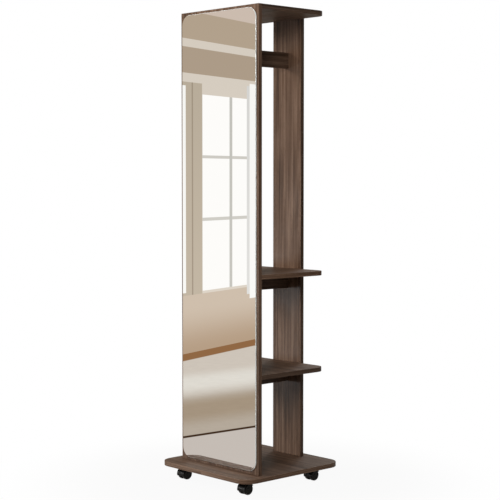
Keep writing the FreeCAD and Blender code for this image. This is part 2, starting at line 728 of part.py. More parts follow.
def make_pin(corner):
    """Swivel pin riveted into the plate, with a groove for its clip."""
    label = corner[0] + "_swivel_pin"
    body = caster_body(label, corner, "cup_level")
    half = sketch_on(body, label + "_half", "XZ_Plane")
    seat_top = "-1 * clip_drop"
    seat_low = "-1 * clip_drop - clip_thickness"
    polygon(half, [
        ("0", "-1 * pin_length"),
        ("pin_radius - pin_chamfer", "-1 * pin_length"),
        ("pin_radius", "pin_chamfer - pin_length"),
        ("pin_radius", seat_low),
        ("clip_seat_radius", seat_low),
        ("clip_seat_radius", seat_top),
        ("pin_radius", seat_top),
        ("pin_radius", "plate_thickness"),
        ("pin_head_radius", "plate_thickness"),
        ("pin_head_radius", "plate_thickness + pin_head_height / 2"),
        ("pin_radius", "plate_thickness + pin_head_height"),
        ("0", "plate_thickness + pin_head_height"),
    ])
    revolve(body, half, "V_Axis")
    keep(body)


def make_clips():
    """Open spring clips in the grooves of the four swivel pins."""
    master = new_body("swivel_clip")
    ring = sketch_on(master, "clip_ring", "XY_Plane")
    circle(ring, "0", "0", "clip_radius")
    pad(master, ring, "clip_thickness")
    drill(master, "clip_eye", "XY_Plane", "0", [("0", "0")],
          "clip_seat_radius + running_clearance", "clip_thickness", True)
    mouth = sketch_on(master, "clip_mouth", "XY_Plane")
    rectangle(mouth, "-1 * clip_seat_radius / 2", "clip_seat_radius / 2", "0", "2 * clip_radius")
    cut(master, mouth, "clip_thickness", reverse=True)
    places = [spot(f"{sx} * caster_x", f"{sy} * caster_y", "clip_level")
              for name, sx, sy in CORNERS]
    group("swivel_clips", master, places)


def make_housing(corner):
    """Moulded housing: head on the swivel pin, hood behind it over both wheels, neck between."""
    label = corner[0] + "_caster_housing"
    body = caster_body(label, corner)
    hood = sketch_on(body, label + "_hood", "YZ_Plane")
    circle(hood, AXLE_Y, AXLE_Z, "hood_outer")
    hood_block = pad(body, hood, "hood_width", both_sides=True)
    round_edges(body, hood_block, lambda edge: edge.Closed, "hood_round")

    head = sketch_on(body, label + "_head", "XY_Plane", "head_level")
    circle(head, "0", "0", "head_radius")
    pad(body, head, "head_level - wheel_radius", reverse=True)

    for side in SIDES:
        well = sketch_on(body, f"{label}_well_{'right' if side > 0 else 'left'}", "YZ_Plane",
                         f"{side} * neck_thickness / 2")
        circle(well, AXLE_Y, AXLE_Z, "hood_inner")
        cut(body, well, "2 * wheel_width", reverse=side > 0)

    # Below the two ends of the hood the wheels stand free.
    reach = "2 * hood_outer"
    wedge = sketch_on(body, label + "_wedge", "YZ_Plane")
    polygon(wedge, [
        (AXLE_Y, AXLE_Z),
        (f"{AXLE_Y} + {reach} * cos(hood_back_angle)", f"{AXLE_Z} + {reach} * sin(hood_back_angle)"),
        (f"{AXLE_Y} - {reach}", f"{AXLE_Z} - {reach}"),
        (f"{AXLE_Y} + {reach}", f"{AXLE_Z} - {reach}"),
        (f"{AXLE_Y} + {reach} * cos(hood_front_angle)", f"{AXLE_Z} + {reach} * sin(hood_front_angle)"),
    ])
    cut(body, wedge, "2 * hood_width", both_sides=True)

    # Between the wheels the neck joins the axle's hub to the boss round the pin.
    hub = sketch_on(body, label + "_hub", "YZ_Plane")
    circle(hub, AXLE_Y, AXLE_Z, "housing_hub_radius")
    pad(body, hub, "neck_thickness", both_sides=True)
    boss_front = "pin_radius + boss_wall"
    boss_low = "pin_end - turning_gap - boss_wall"
    neck = sketch_on(body, label + "_neck", "YZ_Plane")
    polygon(neck, [
        (AXLE_Y, f"{AXLE_Z} - housing_hub_radius"),
        (boss_front, boss_low),
        (boss_front, "wheel_radius + hood_inner"),
        (AXLE_Y, "wheel_radius + hood_inner"),
    ])
    pad(body, neck, "neck_thickness", both_sides=True)

    drill(body, label + "_pin_bore", "XY_Plane", "head_level", [("0", "0")],
          "pin_radius + running_clearance", "head_level - pin_end + turning_gap")
    groove = sketch_on(body, label + "_clip_room", "XZ_Plane")
    rectangle(groove, "0", "clip_radius + clip_room", "clip_level - clip_room",
              "clip_level + clip_thickness + clip_room")
    revolve(body, groove, "V_Axis", "Groove")
    drill(body, label + "_axle_hole", "YZ_Plane", "-1 * neck_thickness / 2",
          [(AXLE_Y, AXLE_Z)], "axle_radius + press_clearance", "neck_thickness", True)
    keep(body)


def make_axle(corner):
    """Steel axle pressed through the neck, a wheel turning on each end."""
    label = corner[0] + "_wheel_axle"
    body = caster_body(label, corner, AXLE_Z, dy=AXLE_Y)
    half = sketch_on(body, label + "_half", "XY_Plane")
    polygon(half, [
        ("-1 * axle_reach", "0"),
        ("-1 * axle_reach", "axle_radius - axle_chamfer"),
        ("axle_chamfer - axle_reach", "axle_radius"),
        ("axle_reach - axle_chamfer", "axle_radius"),
        ("axle_reach", "axle_radius - axle_chamfer"),
        ("axle_reach", "0"),
    ])
    revolve(body, half, "H_Axis")
    keep(body)


def make_wheel(corner, side_name, side):
    """Hollow nylon wheel: tread, outer disc with a pressed ring, ribbed inside."""
    label = f"{corner[0]}_{side_name}_wheel"
    body = caster_body(label, corner, AXLE_Z, dx=f"{side} * wheel_gap / 2", dy=AXLE_Y,
                       turned=0 if side > 0 else HALF_TURN)
    half = sketch_on(body, label + "_half", "XY_Plane")
    web = "wheel_width - web_wall"
    bore = "axle_radius + running_clearance"
    bore_end = "wheel_width - axle_end_wall"
    rim = "wheel_radius - rim_wall"
    face = "wheel_width - face_recess"
    step = f"{face} - face_step"
    polygon(half, [
        ("0", bore),
        ("0", "hub_radius"),
        (web, "hub_radius"),
        (web, rim),
        ("0", rim),
        ("0", "wheel_radius"),
        ("wheel_width", "wheel_radius"),
        ("wheel_width", "face_recess_outer + face_recess"),
        (face, "face_recess_outer"),
        (face, "face_step_radius"),
        (step, "face_step_radius - face_step"),
        (step, "face_recess_inner"),
        ("wheel_width", "face_recess_inner - face_recess"),
        ("wheel_width", "0"),
        (bore_end, "0"),
        (bore_end, bore),
    ])
    disc = revolve(body, half, "H_Axis")
    tread = number("wheel_radius")
    outer_end = number("wheel_width")

    def rims_tread(edge, place):
        on_tread = edge.Closed and abs(edge.Curve.Radius - tread) < SAME_PLACE
        return on_tread and lies_at(edge, 0, place)

    outer = round_edges(body, disc, lambda edge: rims_tread(edge, outer_end), "shoulder_round")
    shoulders = round_edges(body, outer, lambda edge: rims_tread(edge, 0), "lip_round")
    rib_sketch = sketch_on(body, label + "_rib", "YZ_Plane", "rib_setback")
    rectangle(rib_sketch, "hub_radius - rib_root", f"{rim} + rib_root",
              "-1 * rib_thickness / 2", "rib_thickness / 2")
    rib = pad(body, rib_sketch, "rib_length + rib_foot")
    pattern = body.newObject("PartDesign::PolarPattern", label + "_ribs")
    pattern.Originals = [rib]
    pattern.Axis = (rib_sketch, ["N_Axis"])
    pattern.Angle = FULL_TURN
    bind(pattern, "Occurrences", "rib_number")
    body.Tip = pattern
    shoulders.Visibility = False
    doc.recompute()
    keep(body)


# ------------------------------------------------------------------------ build

make_mirror_board()
make_glass()
make_tape()
make_rear_board()
make_shelf("lower_shelf", "lower_shelf_level")
make_shelf("middle_shelf", "middle_shelf_level")
make_shelf("top_board", "top_level")
for rail_name, rail_level in RAILS:
    make_rail(rail_name, rail_level)
make_base()
make_cam_bolts()
make_cam_locks()
make_dowels()
make_carcass_screws()
make_screw_caps()
make_plate_screws()
make_clips()
for corner in CORNERS:
    make_plate(corner)
    make_pin(corner)
    make_housing(corner)
    make_axle(corner)
    make_wheel(corner, "left", -1)
    make_wheel(corner, "right", 1)
doc.recompute()

for item in doc.Objects:
    if "Invalid" in item.State or "Error" in item.State:
        raise RuntimeError(f"{item.Name} failed: {item.State}")
for item in sub_parts:
    if item.Shape.isNull() or not item.Shape.isValid():
        raise RuntimeError(f"{item.Label} has no valid shape")

os.makedirs("parts", exist_ok=True)
for item in sub_parts:
    item.Shape.exportStep(os.path.join("parts", item.Label + ".step"))
print(len(sub_parts), "sub-parts written")
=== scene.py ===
import math

import bpy
from mathutils import Matrix, Vector


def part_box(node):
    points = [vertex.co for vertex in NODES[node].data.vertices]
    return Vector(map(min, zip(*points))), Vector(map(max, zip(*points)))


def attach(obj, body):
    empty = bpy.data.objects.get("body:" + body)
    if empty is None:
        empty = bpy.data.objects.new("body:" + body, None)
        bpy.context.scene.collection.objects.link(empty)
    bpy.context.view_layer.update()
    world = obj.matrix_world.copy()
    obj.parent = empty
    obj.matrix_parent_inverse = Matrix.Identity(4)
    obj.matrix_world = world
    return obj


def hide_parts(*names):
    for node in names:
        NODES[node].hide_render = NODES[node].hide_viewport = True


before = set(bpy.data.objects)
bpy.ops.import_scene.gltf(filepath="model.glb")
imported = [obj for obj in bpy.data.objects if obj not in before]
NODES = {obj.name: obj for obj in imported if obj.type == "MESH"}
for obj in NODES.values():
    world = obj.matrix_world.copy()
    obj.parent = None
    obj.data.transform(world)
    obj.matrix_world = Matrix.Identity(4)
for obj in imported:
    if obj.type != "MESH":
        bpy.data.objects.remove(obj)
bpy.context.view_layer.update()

MM = 0.001
CARCASS = "carcass"
CORNERS = ["front_left", "front_right", "rear_left", "rear_right"]

# Linear colours of the finishes.
WALNUT_DARK = (0.043, 0.0215, 0.0118)
WALNUT_MID = (0.120, 0.0690, 0.0425)
WALNUT_LIGHT = (0.232, 0.150, 0.104)
PORE_TONE = (0.034, 0.017, 0.010)
# Pale tone of the arrises: wear and a painted highlight along the edges.
ARRIS_WEAR_AND_HIGHLIGHT_TONE = (0.220, 0.135, 0.090)
SILVER = (0.930, 0.918, 0.900)
GLASS_EDGE = (0.800, 0.830, 0.810)
NYLON = (0.0030, 0.0030, 0.0029)
NYLON_SCUFF = (0.018, 0.0175, 0.0165)
LACQUER = (0.014, 0.014, 0.015)
BARE_STEEL = (0.42, 0.42, 0.43)
ZINC = (0.60, 0.61, 0.63)
CAP_BROWN = (0.052, 0.029, 0.019)
BEECH = (0.56, 0.36, 0.19)
FOAM = (0.74, 0.73, 0.70)

# Relief of the finishes: height in metres, and how strongly it shows.
WALNUT_RELIEF = (0.00006, 0.55)
NYLON_RELIEF = (0.00002, 0.35)
LACQUER_RELIEF = (0.00004, 0.40)
METAL_RELIEF = (0.00002, 0.30)
CAP_RELIEF = (0.00003, 0.40)
BEECH_RELIEF = (0.00010, 0.50)
FOAM_RELIEF = (0.00020, 0.60)


# ------------------------------------------------------------- shader helpers

class Finish:
    """A material, with short calls for the nodes that it is built from."""

    def __init__(self, name):
        self.material = bpy.data.materials.new(name)
        self.material.use_nodes = True
        self.tree = self.material.node_tree
        self.tree.nodes.clear()
        self.coordinates = self.node("ShaderNodeTexCoord").outputs["Object"]
        self.geometry = self.node("ShaderNodeNewGeometry")

    def node(self, kind, **settings):
        made = self.tree.nodes.new(kind)
        for name, value in settings.items():
            setattr(made, name, value)
        return made

    def put(self, socket, value):
        """Link a socket, or set a number, vector or colour."""
        if isinstance(value, bpy.types.NodeSocket):
            self.tree.links.new(value, socket)
        elif isinstance(value, tuple) and len(value) == 3 and socket.type == "RGBA":
            socket.default_value = (*value, 1.0)
        else:
            socket.default_value = value

    def math(self, operation, *values):
        made = self.node("ShaderNodeMath", operation=operation)
        for socket, value in zip(made.inputs, values):
            self.put(socket, value)
        return made.outputs[0]

    def mix(self, factor, first, second, blend="MIX"):
        """Mix of two colours, on the node's colour sockets."""
        made = self.node("ShaderNodeMix", data_type="RGBA", blend_type=blend)
        for index, value in ((0, factor), (6, first), (7, second)):
            self.put(made.inputs[index], value)
        return made.outputs[2]

    def mix_numbers(self, factor, first, second):
        """Mix of two numbers, on the node's number sockets."""
        made = self.node("ShaderNodeMix", data_type="FLOAT")
        for index, value in ((0, factor), (2, first), (3, second)):
            self.put(made.inputs[index], value)
        return made.outputs[0]

    def parts(self, vector):
        """The three parts of a vector."""
        made = self.node("ShaderNodeSeparateXYZ")
        self.put(made.inputs[0], vector)
        return made.outputs

    def between(self, value, low, high, to_low=0.0, to_high=1.0):
        """Smooth step of a value from low..high to to_low..to_high."""
        made = self.node("ShaderNodeMapRange", interpolation_type="SMOOTHSTEP")
        for socket, number in zip(made.inputs, (value, low, high, to_low, to_high)):
            self.put(socket, number)
        return made.outputs[0]

    def stretched(self, scale, offset=(0.0, 0.0, 0.0), turn=(0.0, 0.0, 0.0), vector=None):
        """Object coordinates, or another vector, scaled, turned and moved."""
        made = self.node("ShaderNodeMapping")
        self.put(made.inputs["Vector"], vector or self.coordinates)
        self.put(made.inputs["Location"], offset)
        self.put(made.inputs["Rotation"], turn)
        self.put(made.inputs["Scale"], scale)
        return made.outputs[0]

    def noise(self, cycles, detail=2.0, roughness=0.5, vector=None):
        """Noise; cycles are those a metre, one number or one for each axis."""
        made = self.node("ShaderNodeTexNoise")
        scale = cycles if isinstance(cycles, tuple) else (cycles,) * 3
        self.put(made.inputs["Vector"], self.stretched(scale, vector=vector))
        self.put(made.inputs["Scale"], 1.0)
        self.put(made.inputs["Detail"], detail)
        self.put(made.inputs["Roughness"], roughness)
        return made.outputs["Fac"]

    def bump(self, height, distance, strength):
        """Normal that shows a height as relief of so many metres."""
        made = self.node("ShaderNodeBump")
        self.put(made.inputs["Height"], height)
        self.put(made.inputs["Distance"], distance)
        self.put(made.inputs["Strength"], strength)
        return made.outputs[0]

    def surface(self, **inputs):
        """Principled surface; names are its sockets' with _ for spaces."""
        shader = self.node("ShaderNodeBsdfPrincipled")
        for name, value in inputs.items():
            self.put(shader.inputs[name.replace("_", " ")], value)
        return self.finished(shader.outputs[0])

    def finished(self, shader):
        """The material, with its shader put on the output."""
        output = self.node("ShaderNodeOutputMaterial")
        self.put(output.inputs["Surface"], shader)
        return self.material

    def facing(self, axis):
        """How squarely the face looks along axis 0, 1 or 2, from 0 to 1."""
        return self.math("ABSOLUTE", self.parts(self.geometry.outputs["True Normal"])[axis])


def toned(colour, share):
    """Colour made darker or paler: a share of each of its channels."""
    return tuple(share * channel for channel in colour)


def dress(node, material):
    """Give a carried-over CAD part its finish."""
    NODES[node].data.materials.clear()
    NODES[node].data.materials.append(material)


# -------------------------------------------------------------- walnut laminate

# Turns that bring the grain direction onto the pattern's own X axis.
GRAIN_TURNS = {
    0: (0.0, 0.0, 0.0),
    1: (0.0, 0.0, -math.pi / 2),
    2: (0.0, math.pi / 2, 0.0),
}
# Layers of the figure, from broad bands to fine lines: cycles a metre along and across the
# grain, detail and roughness of the noise, the range of it that is used, share of the tone.
FIGURE_LAYERS = [
    ((0.9, 24.0), 3.0, 0.50, (0.30, 0.70), 0.22),
    ((2.2, 95.0), 3.0, 0.60, (0.30, 0.70), 0.24),
    ((3.4, 260.0), 2.0, 0.50, (0.34, 0.66), 0.28),
]
# Growth rings: their slope, how close they lie, how far and how often they sway, and share
# of the tone.
RING_SLOPE = 0.7
RING_CLOSENESS = 150.0
RING_SWAY = 34.0
SWAY_CYCLES = (1.1, 7.0)
RING_SHARE = 0.14
# Fibres and pores: cycles as above, share of the tone, and the range of noise that is a pore.
FIBRE_CYCLES = (9.0, 620.0)
FIBRE_SHARE = 0.16
PORE_CYCLES = (42.0, 1500.0)
PORE_RANGE = (0.60, 0.70)
PORE_SHARE = 0.55
# Where each tone of the figure is reached.
WALNUT_STOPS = [(0.14, WALNUT_DARK), (0.50, WALNUT_MID), (0.88, WALNUT_LIGHT)]
# Pattern of the banded edges: its offset, and its length for each radian round the board.
BAND_OFFSET = (0.31, 0.17, 0.05)
BAND_RADIUS = 0.24
# How squarely a face has to look along an axis to be one of the board's flat sides.
SQUARE_ON = 0.75
# Paler arrises, part wear and part painted highlight along the edges: how squarely a face looks
# where the paling starts and where it is full, and how far the full paling takes it to the pale
# tone.
ARRIS_RANGE = (0.9985, 0.95)
ARRIS_WEAR_AND_HIGHLIGHT = 0.45
# Gloss of the coating: smudges, roughness from clean to smudged, what the fibres add to it,
# and the strength of the gloss.
SMUDGE_CYCLES = 6.0
SMUDGE_RANGE = (0.3, 0.7)
COATING_ROUGHNESS = (0.36, 0.46)
FIBRE_ROUGHNESS = 0.10
COATING_SPECULAR = 0.17
# How far the pores sink, against the height of the fibres.
PORE_SINK = 1.3


def along_grain(finish, turned, cycles, detail=2.0, roughness=0.5):
    """Noise drawn out along the grain, from its cycles a metre along and across."""
    along, across = cycles
    return finish.noise((along, across, across), detail, roughness, vector=turned)


def walnut_pattern(finish, grain, offset, vector=None):
    """Tone, pores and fibres of one direction of grain."""
    turned = finish.stretched((1, 1, 1), offset=offset, turn=GRAIN_TURNS[grain], vector=vector)
    sway = along_grain(finish, turned, SWAY_CYCLES)
    _, side, height = finish.parts(turned)
    sideways = finish.math("ADD", side, finish.math("MULTIPLY", height, RING_SLOPE))
    phase = finish.math("ADD", finish.math("MULTIPLY", sideways, RING_CLOSENESS),
                        finish.math("MULTIPLY", sway, RING_SWAY))
    # A sine runs from -1 to 1, so half of it plus a half runs from 0 to 1.
    rings = finish.math("MULTIPLY_ADD", finish.math("SINE", phase), 0.5, 0.5)
    tone = finish.math("MULTIPLY", rings, RING_SHARE)
    for cycles, detail, roughness, used, share in FIGURE_LAYERS:
        marks = along_grain(finish, turned, cycles, detail, roughness)
        tone = finish.math("MULTIPLY_ADD", finish.between(marks, *used), share, tone)
    fibres = along_grain(finish, turned, FIBRE_CYCLES, roughness=0.65)
    tone = finish.math("MULTIPLY_ADD", fibres, FIBRE_SHARE, tone)
    pores = finish.between(along_grain(finish, turned, PORE_CYCLES, detail=1.0), *PORE_RANGE)
    return tone, pores, fibres


def round_the_edge(finish):
    """Coordinates of a band that runs round a level board's edge: along it, and up it."""
    x, y, z = finish.parts(finish.coordinates)
    vector = finish.node("ShaderNodeCombineXYZ")
    finish.put(vector.inputs[0], finish.math(
        "MULTIPLY", finish.math("ARCTAN2", x, y), BAND_RADIUS))
    finish.put(vector.inputs[1], z)
    return vector.outputs[0]


def walnut_laminate(name, grain, flat, face_tone_and_painted_light, edge_tone_and_painted_light, offset):
    """Coated board: grain along one axis, faces square to flat, banded edges and ends."""
    finish = Finish(name)
    on_board = walnut_pattern(finish, grain, offset)
    level = finish.facing(flat)
    is_face = finish.math("GREATER_THAN", level, SQUARE_ON)
    if flat == 2:
        on_band = walnut_pattern(finish, 0, BAND_OFFSET, vector=round_the_edge(finish))
        is_band = finish.math("SUBTRACT", 1.0, is_face)
    else:
        (across,) = {0, 1, 2} - {grain, flat}
        on_band = walnut_pattern(finish, across, BAND_OFFSET)
        is_band = finish.math("GREATER_THAN", finish.facing(grain), SQUARE_ON)
    tone, pores, fibres = (finish.mix_numbers(is_band, *pair) for pair in zip(on_board, on_band))

    ramp = finish.node("ShaderNodeValToRGB")
    stops = ramp.color_ramp.elements
    stops.new(0.5)
    for stop, (position, tint) in zip(stops, WALNUT_STOPS):
        stop.position = position
        stop.color = (*tint, 1)
    finish.put(ramp.inputs[0], tone)
    colour = finish.mix(finish.math("MULTIPLY", pores, PORE_SHARE), ramp.outputs[0], PORE_TONE)

    # Wear and a painted highlight: the arrises are made paler.
    upright = finish.math("SQRT", finish.math("SUBTRACT", 1.0, finish.math("POWER", level, 2.0)))
    arris = finish.between(finish.math("MAXIMUM", level, upright), *ARRIS_RANGE)
    colour = finish.mix(finish.math("MULTIPLY", arris, ARRIS_WEAR_AND_HIGHLIGHT), colour, ARRIS_WEAR_AND_HIGHLIGHT_TONE)
    # Painted light and shade: each board's faces and banded edges are made lighter or darker by its
    # depths.
    depth = finish.mix(is_face, (edge_tone_and_painted_light,) * 3, (face_tone_and_painted_light,) * 3)
    colour = finish.mix(1.0, colour, depth, blend="MULTIPLY")

    smudges = finish.noise(SMUDGE_CYCLES, detail=3.0, roughness=0.6)
    roughness = finish.math("ADD", finish.between(smudges, *SMUDGE_RANGE, *COATING_ROUGHNESS),
                            finish.math("MULTIPLY", fibres, FIBRE_ROUGHNESS))
    relief = finish.math("SUBTRACT", fibres, finish.math("MULTIPLY", pores, PORE_SINK))
    return finish.surface(
        Base_Color=colour,
        Roughness=roughness,
        Specular_IOR_Level=COATING_SPECULAR,
        Normal=finish.bump(relief, *WALNUT_RELIEF),
    )


# -------------------------------------------------------------- other finishes

# Glass: how squarely its flat face and its silvering look forward, the range of the dust's
# noise that shows, and the roughness of the dust and of the ground edge.
GLASS_FLAT = (0.93, 0.995)
GLASS_SILVERED = (0.80, 0.92)
DUST_RANGE = (0.55, 0.80)
DUST_ROUGHNESS = 0.012
GROUND_ROUGHNESS = 0.14


def silvered_glass():
    """Mirror face, with the green of the glass on its ground arris and edge."""
    finish = Finish("silvered_glass")
    forward = finish.facing(1)
    front = finish.between(forward, *GLASS_FLAT)
    dust = finish.between(finish.noise(cycles=3.0, detail=5.0, roughness=0.7), *DUST_RANGE)
    ground = finish.math("MULTIPLY", finish.math("SUBTRACT", 1.0, front), GROUND_ROUGHNESS)
    return finish.surface(
        Base_Color=finish.mix(front, GLASS_EDGE, SILVER),
        Metallic=finish.between(forward, *GLASS_SILVERED),
        Roughness=finish.math("ADD", finish.math("MULTIPLY", dust, DUST_ROUGHNESS), ground),
    )


# Nylon: the range of the scuffs' noise that shows, what the scuffs and the flow of the
# melt add to the roughness, and the strength of its gloss.
SCUFF_RANGE = (0.56, 0.80)
SCUFF_ROUGHNESS = 0.35
FLOW_RANGE = (0.3, 0.7)
FLOW_ROUGHNESS = 0.09
NYLON_SPECULAR = 0.15


def moulded_nylon(name, gloss, scuffed):
    """Black nylon with a fine mould grain and pale scuffs; gloss is its least roughness."""
    finish = Finish(name)
    scuff_noise = finish.noise(cycles=55.0, detail=6.0, roughness=0.72)
    scuffs = finish.between(scuff_noise, *SCUFF_RANGE, to_high=scuffed)
    grain = finish.noise(cycles=2600.0, detail=1.0)
    flow = finish.noise(cycles=(38.0, 90.0, 38.0))
    roughness = finish.math("ADD", finish.between(flow, *FLOW_RANGE, gloss, gloss + FLOW_ROUGHNESS),
                            finish.math("MULTIPLY", scuffs, SCUFF_ROUGHNESS))
    return finish.surface(
        Base_Color=finish.mix(scuffs, NYLON, NYLON_SCUFF),
        Roughness=roughness,
        Specular_IOR_Level=NYLON_SPECULAR,
        Normal=finish.bump(grain, *NYLON_RELIEF),
    )


# Lacquer: how squarely a face looks where the chips start and where they are full, the
# range of their noise that is bare, how metallic a bare chip is, and the roughness that
# follows the whole of the noise.
LACQUER_ARRIS = (0.999, 0.90)
CHIP_RANGE = (0.52, 0.60)
CHIP_METAL = 0.9
CHIP_NOISE = (0.3, 0.8)
LACQUER_ROUGHNESS = (0.28, 0.44)


def black_lacquer():
    """Lacquered steel, chipped to the metal along its arrises."""
    finish = Finish("black_lacquer")
    peel = finish.noise(cycles=420.0)
    chip_noise = finish.noise(cycles=170.0, detail=5.0, roughness=0.7)
    squarest = finish.math("MAXIMUM", finish.facing(0),
                           finish.math("MAXIMUM", finish.facing(1), finish.facing(2)))
    arris = finish.between(squarest, *LACQUER_ARRIS)
    chips = finish.math("MULTIPLY", finish.between(chip_noise, *CHIP_RANGE), arris)
    return finish.surface(
        Base_Color=finish.mix(chips, LACQUER, BARE_STEEL),
        Metallic=finish.math("MULTIPLY", chips, CHIP_METAL),
        Roughness=finish.between(chip_noise, *CHIP_NOISE, *LACQUER_ROUGHNESS),
        Normal=finish.bump(peel, *LACQUER_RELIEF),
    )


# Metal: the range of the noise that its dull patches take for their shade and for their
# roughness, the full shade, and the roughness that they add.
DULL_SHADE_RANGE = (0.35, 0.70)
DULL_ROUGHNESS_RANGE = (0.30, 0.75)
DULL_SHADE = 0.72
DULL_ROUGHNESS = 0.16


def bright_metal(name, colour, roughness):
    """Plated or drawn steel with fine turned marks and dull patches."""
    finish = Finish(name)
    marks = finish.noise(cycles=(700.0, 700.0, 4200.0))
    dull = finish.noise(cycles=90.0, detail=4.0, roughness=0.65)
    shade = finish.between(dull, *DULL_SHADE_RANGE)
    return finish.surface(
        Base_Color=finish.mix(shade, colour, toned(colour, DULL_SHADE)),
        Metallic=1.0,
        Roughness=finish.between(dull, *DULL_ROUGHNESS_RANGE, roughness,
                                 roughness + DULL_ROUGHNESS),
        Normal=finish.bump(marks, *METAL_RELIEF),
    )


# Cap: the range of its mottle that is used, the palest tone, and its roughness.
MOTTLE_RANGE = (0.3, 0.7)
MOTTLE_PALEST = 1.35
CAP_ROUGHNESS = (0.42, 0.52)


def cap_plastic():
    """Brown plastic with a soft mottle and a fine mould grain."""
    finish = Finish("brown_cap_plastic")
    grain = finish.noise(cycles=1500.0)
    mottle = finish.noise(cycles=160.0)
    return finish.surface(
        Base_Color=finish.mix(finish.between(mottle, *MOTTLE_RANGE), CAP_BROWN,
                              toned(CAP_BROWN, MOTTLE_PALEST)),
        Roughness=finish.between(mottle, *MOTTLE_RANGE, *CAP_ROUGHNESS),
        Normal=finish.bump(grain, *CAP_RELIEF),
    )


# Beech: the range of the noise that its flecks take, their full shade, and its roughness.
FLECK_RANGE = (0.35, 0.70)
FLECK_SHADE = 0.7
BEECH_ROUGHNESS = 0.6


def beech_wood():
    """Bare beech with its short dark flecks along the dowel."""
    finish = Finish("beech")
    flecks = finish.noise(cycles=(900.0, 60.0, 900.0), detail=3.0)
    return finish.surface(
        Base_Color=finish.mix(finish.between(flecks, *FLECK_RANGE), BEECH,
                              toned(BEECH, FLECK_SHADE)),
        Roughness=BEECH_ROUGHNESS,
        Normal=finish.bump(flecks, *BEECH_RELIEF),
    )


# Foam: its cells a metre, the shade of their walls, and its roughness.
CELLS = 2200.0
CELL_SHADE = 0.8
FOAM_ROUGHNESS = 0.85


def foam():
    """White foam with open cells."""
    finish = Finish("foam_tape")
    cells = finish.node("ShaderNodeTexVoronoi")
    finish.put(cells.inputs["Vector"], finish.coordinates)
    finish.put(cells.inputs["Scale"], CELLS)
    depth = cells.outputs["Distance"]
    return finish.surface(
        Base_Color=finish.mix(depth, FOAM, toned(FOAM, CELL_SHADE)),
        Roughness=FOAM_ROUGHNESS,
        Normal=finish.bump(depth, *FOAM_RELIEF),
    )


# --------------------------------------------------------- finishes on the part

# Board: direction of the grain, direction its faces look in, depth of colour on the faces
# and on the banded edges, offset of the pattern. The depths are partly each board's own tone
# and partly painted light and shade: the rear board's face is painted lighter where it lies in
# shade, and the base's top, the aprons and the edges that turn from the lamps are painted darker.
BOARDS = {
    "mirror_board": (2, 1, 1.0, 0.88, (0.0, 0.13, 0.0)),
    "rear_board": (2, 1, 1.36, 0.52, (1.7, 0.42, 0.0)),
    "top_board": (0, 2, 1.1, 0.52, (0.4, 0.9, 0.0)),
    "middle_shelf": (0, 2, 0.9, 1.08, (2.3, 0.35, 0.0)),
    "lower_shelf": (0, 2, 0.8, 0.50, (3.1, 0.62, 0.0)),
    "base_board": (0, 2, 0.71, 1.06, (4.6, 0.21, 0.0)),
    "hanging_rail": (1, 0, 0.85, 0.85, (0.9, 1.3, 0.0)),
    "middle_apron": (1, 0, 0.8, 0.80, (1.9, 1.1, 0.0)),
    "lower_apron": (1, 0, 0.8, 0.80, (2.7, 1.6, 0.0)),
}
for board, look in BOARDS.items():
    dress(board, walnut_laminate("walnut_laminate_" + board, *look))

housing_nylon = moulded_nylon("housing_nylon", gloss=0.26, scuffed=0.25)
wheel_nylon = moulded_nylon("wheel_nylon", gloss=0.24, scuffed=0.55)
lacquer = black_lacquer()
zinc = bright_metal("bright_zinc", ZINC, roughness=0.27)
steel = bright_metal("drawn_steel", BARE_STEEL, roughness=0.22)
cap_brown = cap_plastic()

dress("mirror_glass", silvered_glass())
dress("mirror_tape", foam())
for fastener in ("cam_bolts", "cam_locks", "rear_screws", "base_screws", "caster_screws"):
    dress(fastener, zinc)
dress("dowels", beech_wood())
dress("swivel_clips", steel)
dress("screw_caps", cap_brown)
for corner in CORNERS:
    dress(corner + "_caster_plate", lacquer)
    dress(corner + "_swivel_pin", steel)
    dress(corner + "_wheel_axle", steel)
    dress(corner + "_caster_housing", housing_nylon)
    dress(corner + "_left_wheel", wheel_nylon)
    dress(corner + "_right_wheel", wheel_nylon)


# ------------------------------------------------------------------- fasteners

# Sizes of the fasteners in millimetres.
PLATE_SCREW = {"Head Radius": 3.6, "Head Height": 2.2, "Recess Length": 3.7, "Recess Width": 0.95,
               "Recess Depth": 1.3, "Shank Radius": 1.9, "Shank Length": 14, "Tip Length": 3,
               "Pitch": 1.8, "Groove": 0.5}
SOCKET_SCREW = {"Head Radius": 5, "Head Cone": 1.5, "Socket Radius": 2.2, "Socket Depth": 2.6,
                "Neck Radius": 3.5, "Neck Length": 16, "Thread Radius": 2.5, "Length": 50,
                "Tip Length": 3, "Pitch": 3.2, "Groove": 0.6}
COVER_CAP = {"Radius": 6.5, "Thickness": 1.4, "Peg Radius": 1.9, "Peg Length": 1.6}
# Places in metres: a plate's holes from its middle, the plate's thickness, and the screws
# from the middle of the mirror board, the rear board and the end of a rail.
PLATE_HOLE = 0.016
PLATE_THICKNESS = 0.0025
FRONT_SPREAD = 0.110
REAR_SPREAD = 0.044
RAIL_SPREAD = 0.016
# How finely the fasteners are drawn.
FASTENER_SIDES = 24
SHANK_SIDES = 12
SOCKET_SIDES = 6
CROWN_RINGS = 5
THREAD_RINGS = 40
CRISP_ANGLE = math.radians(32)
# A cutter stands as far out of the head as it goes in.
CUTTER_REACH = 2.0
# The socket's turn and the head's wider foot keep the corners of a screw's closed pieces
# from falling on each other.
SOCKET_TURN = math.radians(4.3)
HEAD_FOOT = 1.02
# Share of the thread's core that is left at the end of a blunt tip.
BLUNT_TIP = 0.5
SPIN_SEED = 7
# Keeps a point on the axis from being divided by no distance.
LEAST_REACH = 1e-6


